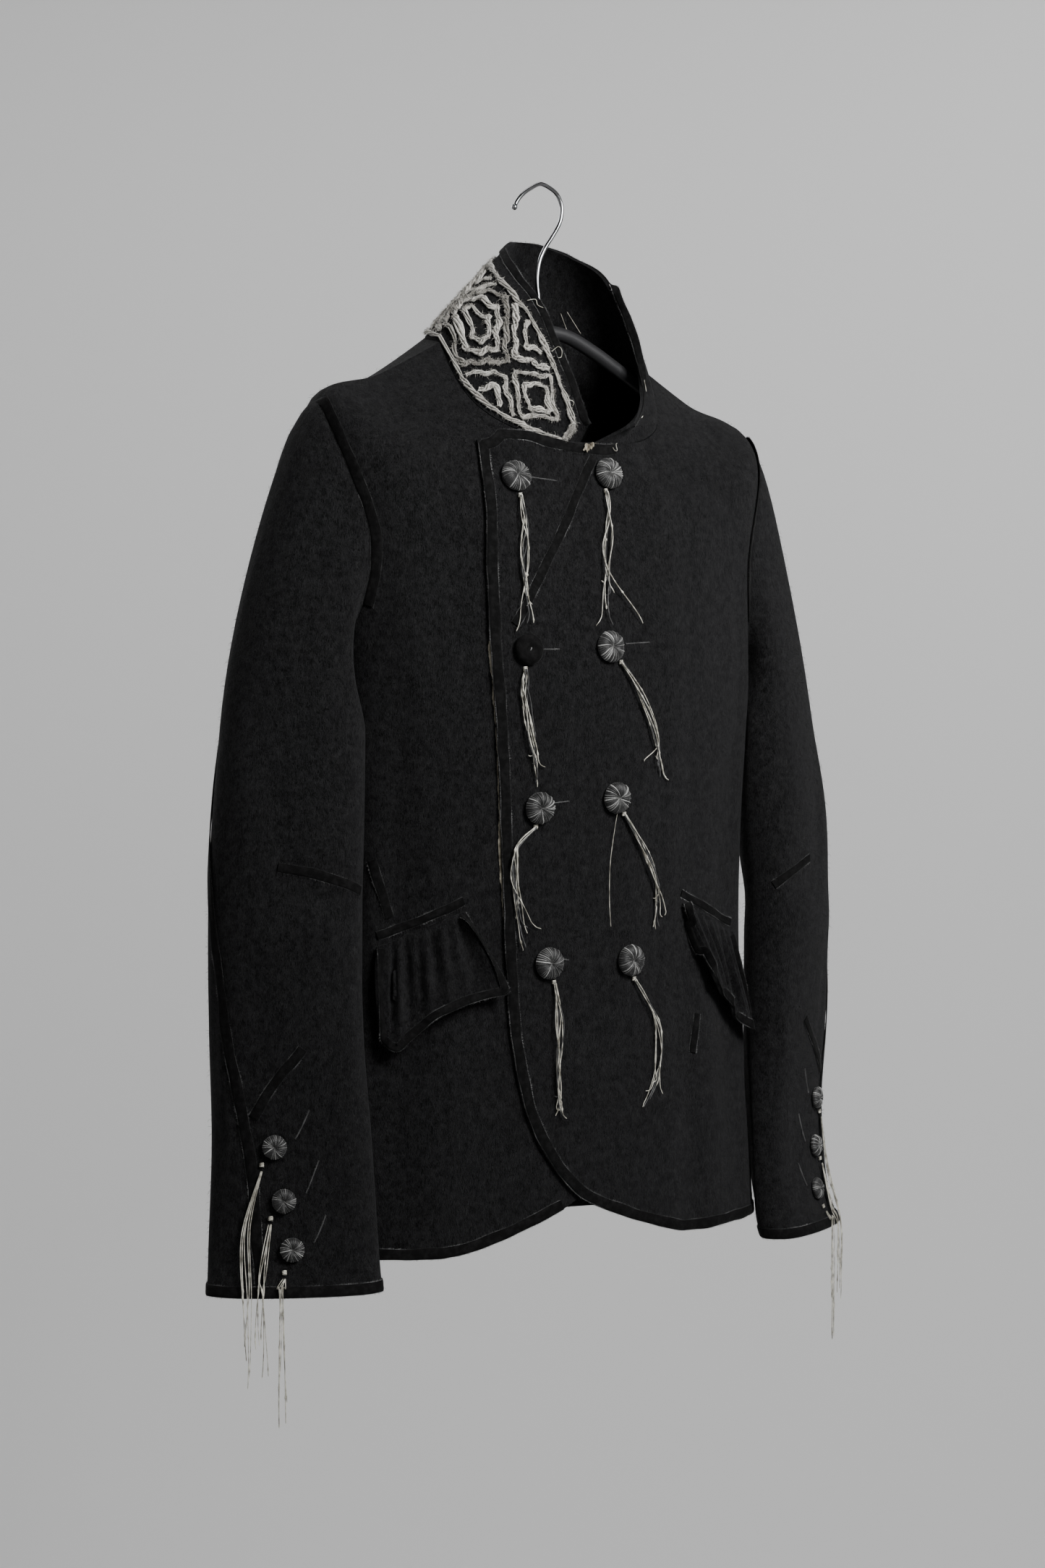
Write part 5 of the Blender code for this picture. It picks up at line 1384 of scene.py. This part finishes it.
def decoration():
    """Diamonds nested round each other in a row, V shapes nested between them, and a border round the field."""
    lines = [[(0.0, 0.0), (1.0, 0.0), (1.0, 1.0), (0.0, 1.0), (0.0, 0.0)]]
    half = 0.5 / DIAMONDS
    for number in range(DIAMONDS):
        centre = (number + 0.5) / DIAMONDS + 0.02 * (number == 0)
        for ring in range(RINGS - (number == 0)):
            size = 0.88 - 0.30 * ring - 0.14 * (number == 0)
            wide, tall = half * size, 0.5 * size
            lines.append([
                (centre - wide, 0.5),
                (centre, 0.5 + tall),
                (centre + wide, 0.5),
                (centre, 0.5 - tall),
                (centre - wide, 0.5),
            ])
    for number in range(DIAMONDS + 1):
        centre = number / DIAMONDS
        for ring in range(2 * (number > 0)):
            wide, tall = half * (0.72 - 0.40 * ring), 0.5 * (0.72 - 0.40 * ring)
            left, right = max(centre - wide, 0.03), min(centre + wide, 0.97)
            for base, sign in ((0.07, 1.0), (0.93, -1.0)):
                peak = base + sign * tall * 0.9
                if number == DIAMONDS:
                    lines.append([(left, base), (0.97, peak)])
                else:
                    lines.append([(left, base), (centre, peak), (right, base)])
    return lines


random = np.random.default_rng(160)
parts, tones, stitches, roots, outs = [], [], [], [], []
for line in decoration():
    plies, centre, out, across, thick = laid_yarn(line, random)
    parts += plies
    bright = random.uniform(0.0, 0.6)
    tones += [np.full(len(ply[0]), bright + random.uniform(0.0, 0.5)) for ply in plies]
    spread = random.uniform(-1.0, 1.0, (HAIRS_PER_STEP, len(centre), 1))
    roots.append(centre + across * spread * thick[:, None] * 1.1 + out * thick[:, None] * 0.5)
    outs.append(unit(across * spread * 1.6 + out))
    held = np.arange(5, len(centre) - 3, 8)
    for k in held:
        arc = np.linspace(-1.0, 1.0, 5)[:, None]
        bow = centre[k] + across[k] * thick[k] * 1.35 * arc + out[k] * thick[k] * (1.15 - 1.9 * arc**2)
        stitches.append(strand(bow, 0.00017, 4, 0.0007))
made = threads("collar_yarn", parts, YARN)
toned(made, np.concatenate(tones))
made = threads("collar_yarn_stitches", stitches, FRAY)
root = np.concatenate([r.reshape(-1, 3) for r in roots])
points, faces = blades(root, np.concatenate([o.reshape(-1, 3) for o in outs]), 0.0042, random)
made = piece("collar_yarn_fibres", points, faces, YARN)
toned(made, np.repeat(random.uniform(0.2, 1.0, len(root)), 5))

# Small remains of the making: a cream selvedge that peeps from under the left front's edge, a scrap of cream
# cloth between collar and lapel, and loose white thread ends about the collar's corners.
CREAM = thread_material("cream_selvedge", (0.10, 0.085, 0.06), (0.46, 0.42, 0.33), 0.85)
selvedge_z = np.linspace(-0.362, -0.585, 260)
edge_x = front_edge(selvedge_z)
random = np.random.default_rng(170)
ragged = np.cumsum(random.normal(0.0, 0.00018, 260))
ragged = ragged - np.linspace(ragged[0], ragged[-1], 260)
reach = 0.0002 + np.clip(0.0014 * np.sin((selvedge_z + 0.36) * 32.0) + ragged, -0.0016, 0.0013)
shares = np.linspace(0.0, 1.0, 6)
strip_x = edge_x[:, None] + 0.004 - (0.004 + reach[:, None]) * shares
strip_z = selvedge_z[:, None] + 0.0 * strip_x
outer, out = on_front(-1, strip_x, strip_z, 0.0006)
points, faces = wall(outer, outer - out * 0.0003)
made = piece("front_selvedge", points, outward(points, faces), CREAM)
SCRAP = np.array((
    # x, z of its lower edge, x, z of its upper edge
    (-0.0080, -0.2150, -0.0065, -0.2105),
    (-0.0050, -0.2165, -0.0020, -0.2095),
    (-0.0025, -0.2140, 0.0005, -0.2070),
    (0.0005, -0.2130, 0.0030, -0.2055),
    (0.0030, -0.2100, 0.0050, -0.2045),
    (0.0055, -0.2065, 0.0068, -0.2040),
))
low_x, low_z, high_x, high_z = columns(SCRAP, np.linspace(0.0, 5.0, 40))
shares = np.linspace(0.0, 1.0, 14)[:, None]
outer, out = on_front(
    1, low_x + (high_x - low_x) * shares, low_z + (high_z - low_z) * shares + 0.0008 * np.sin(low_x * 2600.0)
)
crumple = 0.0034 + 0.0007 * np.sin(low_x * 1900.0 + 5.0 * shares) + 0.0005 * np.cos(low_x * 900.0 - 9.0 * shares)
outer = outer + out * crumple[..., None]
points, faces = wall(outer, outer - out * 0.0004)
made = piece("lapel_scrap", points, outward(points, faces), CREAM)
LOOSE_ENDS = (
    # name of the surface, then x, z or turn_deg, share of three to five points
    ("front", (0.0254, -0.2023, 0.0240, -0.2090, 0.0245, -0.2130, 0.0222, -0.2135, 0.0204, -0.2110)),
    ("front", (0.0100, -0.4900, 0.0070, -0.5100, 0.0050, -0.5300, 0.0056, -0.5560, 0.0077, -0.5760)),
    ("collar", (-76.0, 0.90, -73.0, 0.96, -70.0, 0.95, -67.0, 0.98)),
    ("collar", (-50.0, 0.86, -49.0, 0.95, -46.0, 0.97, -44.0, 0.93, -45.0, 0.89)),
    ("collar", (-27.0, 0.66, -24.0, 0.76, -22.0, 0.78, -21.5, 0.72)),
    ("collar", (-318.0, 0.94, -320.0, 0.98, -323.0, 0.97, -324.0, 0.92)),
    ("collar", (-338.0, 0.80, -340.0, 0.86, -338.0, 0.76, -335.0, 0.72)),
)
parts = []
for where, row in LOOSE_ENDS:
    row = columns(np.array(row).reshape(-1, 2), np.linspace(0.0, len(row) / 2.0 - 1.0, 40))
    if where == "front":
        places, _ = on_front(1, row[0], row[1], 0.0030)
    else:
        turn = np.radians(row[0])
        places = collar(turn, row[1]) + collar_normal(turn, row[1]) * 0.0028
    parts.append(strand(places, 0.00022, 6, 0.0008))
INNER_STITCHES = (
    # turn_deg, share at the start, turn_deg, share at the end, on the collar's inner face
    (-218.0, 0.39, -222.0, 0.10),
    (-223.0, 0.42, -230.0, 0.22),
)
for turn_a, share_a, turn_b, share_b in INNER_STITCHES:
    share = np.linspace(0.0, 1.0, 20)
    turn, up_share = np.radians(turn_a + (turn_b - turn_a) * share), share_a + (share_b - share_a) * share
    places = collar(turn, up_share) - collar_normal(turn, up_share) * (COLLAR_WALL + 0.0005)
    parts.append(strand(places, 0.00018, 6, 0.0010))
made = threads("loose_thread_ends", parts, IVORY_WITH_PAINTED_HIGHLIGHTS)

# The hanger: a bowed bar of satin black plastic inside the shoulders, and a chromed wire hook with a small
# ball at its tip, whose crest is where a rail carries it all.
WIRE_RADIUS = 0.00165
HANGER_RADIUS = 0.0055
HOOK = np.array((
    # x, z
    (-0.0256, -0.0215),
    (-0.0225, -0.0150),
    (-0.0170, -0.0085),
    (-0.0095, -0.0030),
    (0.0000, 0.00165),
    (0.0095, -0.0005),
    (0.0165, -0.0050),
    (0.0205, -0.0130),
    (0.0203, -0.0210),
    (0.0175, -0.0290),
    (0.0110, -0.0390),
    (0.0040, -0.0490),
    (-0.0010, -0.0600),
    (-0.0030, -0.0740),
    (-0.0015, -0.0900),
    (0.0000, -0.1060),
))
HANGER = np.array((
    # x, z
    (0.0000, -0.1134),
    (0.0250, -0.1154),
    (0.0500, -0.1249),
    (0.0750, -0.1374),
    (0.1000, -0.1504),
    (0.1250, -0.1619),
    (0.1500, -0.1729),
    (0.1750, -0.1839),
    (0.1880, -0.1899),
))


def bar(route, radius, sides):
    """A round bar of changing radius along a route in the plane Y = 0."""
    centre = np.stack([route[:, 0], 0.0 * route[:, 0], route[:, 1]], -1)
    depth = np.tile((0.0, 1.0, 0.0), (len(route), 1))
    across = np.cross(tangents(centre), depth)
    return carry(round_profile(sides), centre, across * radius[:, None], depth * radius[:, None])


chrome_painted_dark, tree, shader, place = new_material("chromed_wire", Metallic=1.0)
# The chromed wire's colour is set dark, as a painted dark reflection of its surroundings.
shader.inputs["Base Color"].default_value = (0.34, 0.34, 0.35, 1.0)
wear = add_node(tree, "ShaderNodeTexNoise", {"Vector": place, "Scale": 240.0, "Detail": 5.0, "Roughness": 0.7})
polish = add_node(
    tree,
    "ShaderNodeMapRange",
    {"Value": wear.outputs[0], "From Min": 0.35, "From Max": 0.75, "To Min": 0.07, "To Max": 0.24},
)
tree.links.new(polish.outputs["Result"], shader.inputs["Roughness"])
route = columns(HOOK, np.linspace(0.0, len(HOOK) - 1.0, 220)).T
route[-1, 1] = HANGER[0, 1] + HANGER_RADIUS + GAP
run = np.concatenate([[0.0], np.cumsum(np.linalg.norm(np.diff(route, axis=0), axis=1))])
BALL = 0.0024
ball = np.sqrt(np.clip(BALL**2 - (run - BALL) ** 2, 0.0, None))
radius = np.maximum(ball, np.where(run > BALL, WIRE_RADIUS, 0.00012))
points, faces = bar(route, radius, 20)
hook = piece("hook_wire", points, outward(points, faces), chrome_painted_dark, 60.0)
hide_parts("hook")
plastic, tree, shader, place = new_material("satin_black_plastic")
shader.inputs["Base Color"].default_value = (0.018, 0.018, 0.019, 1.0)
grain = add_node(tree, "ShaderNodeTexNoise", {"Vector": place, "Scale": 900.0, "Detail": 4.0})
satin = add_node(
    tree,
    "ShaderNodeMapRange",
    {"Value": grain.outputs[0], "From Min": 0.3, "From Max": 0.7, "To Min": 0.32, "To Max": 0.48},
)
tree.links.new(satin.outputs["Result"], shader.inputs["Roughness"])
raised = add_node(tree, "ShaderNodeBump", {"Strength": 0.15, "Distance": 0.0002, "Height": grain.outputs[0]})
tree.links.new(raised.outputs["Normal"], shader.inputs["Normal"])
half = columns(HANGER, np.linspace(0.0, len(HANGER) - 1.0, 90)).T
route = np.concatenate([half[:0:-1] * np.array((-1.0, 1.0)), half])
run = np.abs(np.linspace(-1.0, 1.0, len(route)))
radius = HANGER_RADIUS * np.sqrt(np.clip(1.0 - np.clip((run - 0.972) / 0.028, 0.0, 0.995) ** 2, 0.01, 1.0))
points, faces = bar(route, radius, 24)
hanger = piece("hanger_bar", points, outward(points, faces), plastic, 60.0)
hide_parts("hanger")

# How each cloth was cut, before it was sewn and hung: a front, a back and a one-piece sleeve that widens from its
# cuff to its cap, a long narrow collar and two small flaps. The loop only looks up each cloth's piece, the names of
# what goes with it and what it hangs from.
SLEEVE_TAPES = {
    word: tuple(f"tape_{kind}_{word}" for kind in ("cuff", "branch", "elbow")) for word, _ in SLEEVE_SIDES
}
CLOTHS = (
    # name, width, length, area, what it hangs from, starts of the names of the pieces on it
    ("front_left", 0.36, 0.79, 0.1893, "hanger", ("tape_lapel", "tape_pocket_left", "tape_waist_dart_left")),
    ("front_right", 0.32, 0.79, 0.1631, "hanger", ("tape_pocket_right", "tape_waist_dart_right")),
    ("back", 0.48, 0.79, 0.302, "hanger", ("tape_hem_back",)),
    ("sleeve_left", 0.44, 0.68, 0.1565, "front_left_cloth", SLEEVE_TAPES["left"]),
    ("sleeve_right", 0.44, 0.68, 0.1565, "front_right_cloth", SLEEVE_TAPES["right"]),
    ("collar", 0.565, 0.11, 0.0304, "back_cloth", ("collar_",)),
    ("pocket_flap_left", 0.104, 0.086, 0.00594, "front_left_cloth", ("tape_flap_left",)),
    ("pocket_flap_right", 0.117, 0.083, 0.00686, "front_right_cloth", ("tape_flap_right",)),
)
for name, width, length, area, hung_from, starts in CLOTHS:
    made = bpy.data.objects[f"{name}_cloth"]
    starts = (f"{name}_nap", f"tape_{name}_", *starts)
    held = hung_from if hung_from != "hanger" else "hanger_bar"

# The studio: a pale floor well below, which curves up slowly into a round pale wall, so that every side has
# a plain ground. A large soft light stands on the jacket's right, and weaker ones before, above and behind.
FLOOR_Z = -2.6
profile = np.array((
    # radius, z
    (0.0, FLOOR_Z),
    (1.8, FLOOR_Z),
    (2.8, FLOOR_Z + 0.15),
    (3.6, FLOOR_Z + 0.60),
    (4.2, FLOOR_Z + 1.40),
    (4.5, FLOOR_Z + 2.60),
    (4.6, FLOOR_Z + 4.20),
    (4.6, FLOOR_Z + 6.50),
))
angle = np.arange(128) * 2.0 * math.pi / 128
radius, height = columns(profile, np.linspace(0.0, len(profile) - 1.0, 90))
ground = np.stack(
    [radius[:, None] * np.cos(angle), radius[:, None] * np.sin(angle), height[:, None] + 0.0 * angle], -1
)
paper, tree, shader, place = new_material("pale_paper", Roughness=0.95)
shader.inputs["Specular IOR Level"].default_value = 0.0
shader.inputs["Base Color"].default_value = (0.68, 0.68, 0.68, 1.0)
studio = piece("studio_ground", ground.reshape(-1, 3), cells(90, 128, True)[:, ::-1], paper, 180.0)
LIGHTS = (
    # name, x, y, z, size, power, towards x, y, z
    ("key_light", 0.12, -1.35, 0.35, 0.6, 42.0, 0.0, 0.0, -0.32),
    ("side_light", -2.8, -1.2, 0.9, 1.8, 6.0, 0.0, 0.0, -0.5),
    ("top_light", 0.3, 0.6, 2.3, 1.4, 10.0, 0.0, 0.0, -0.4),
    ("back_light", -0.4, 2.2, 0.8, 1.6, 34.0, 0.0, 0.0, -0.4),
    ("wall_light_right", 2.6, 0.8, 1.6, 1.8, 48.0, 3.6, 3.2, -0.6),
    ("wall_light_behind", 0.9, 2.0, 1.4, 1.8, 30.0, 2.8, 4.0, -0.9),
)
for name, x, y, z, size, power, *towards in LIGHTS:
    data = bpy.data.lights.new(name, "AREA")
    data.energy = power
    data.size = size
    light = bpy.data.objects.new(name, data)
    light.location = (x, y, z)
    light.rotation_euler = (Vector(towards) - Vector((x, y, z))).to_track_quat("-Z", "Y").to_euler()
    bpy.context.scene.collection.objects.link(light)
world = bpy.data.worlds.new("studio_air")
bpy.context.scene.world = world
world.use_nodes = True
world.node_tree.nodes["Background"].inputs["Color"].default_value = (0.75, 0.75, 0.75, 1.0)
world.node_tree.nodes["Background"].inputs["Strength"].default_value = 0.08
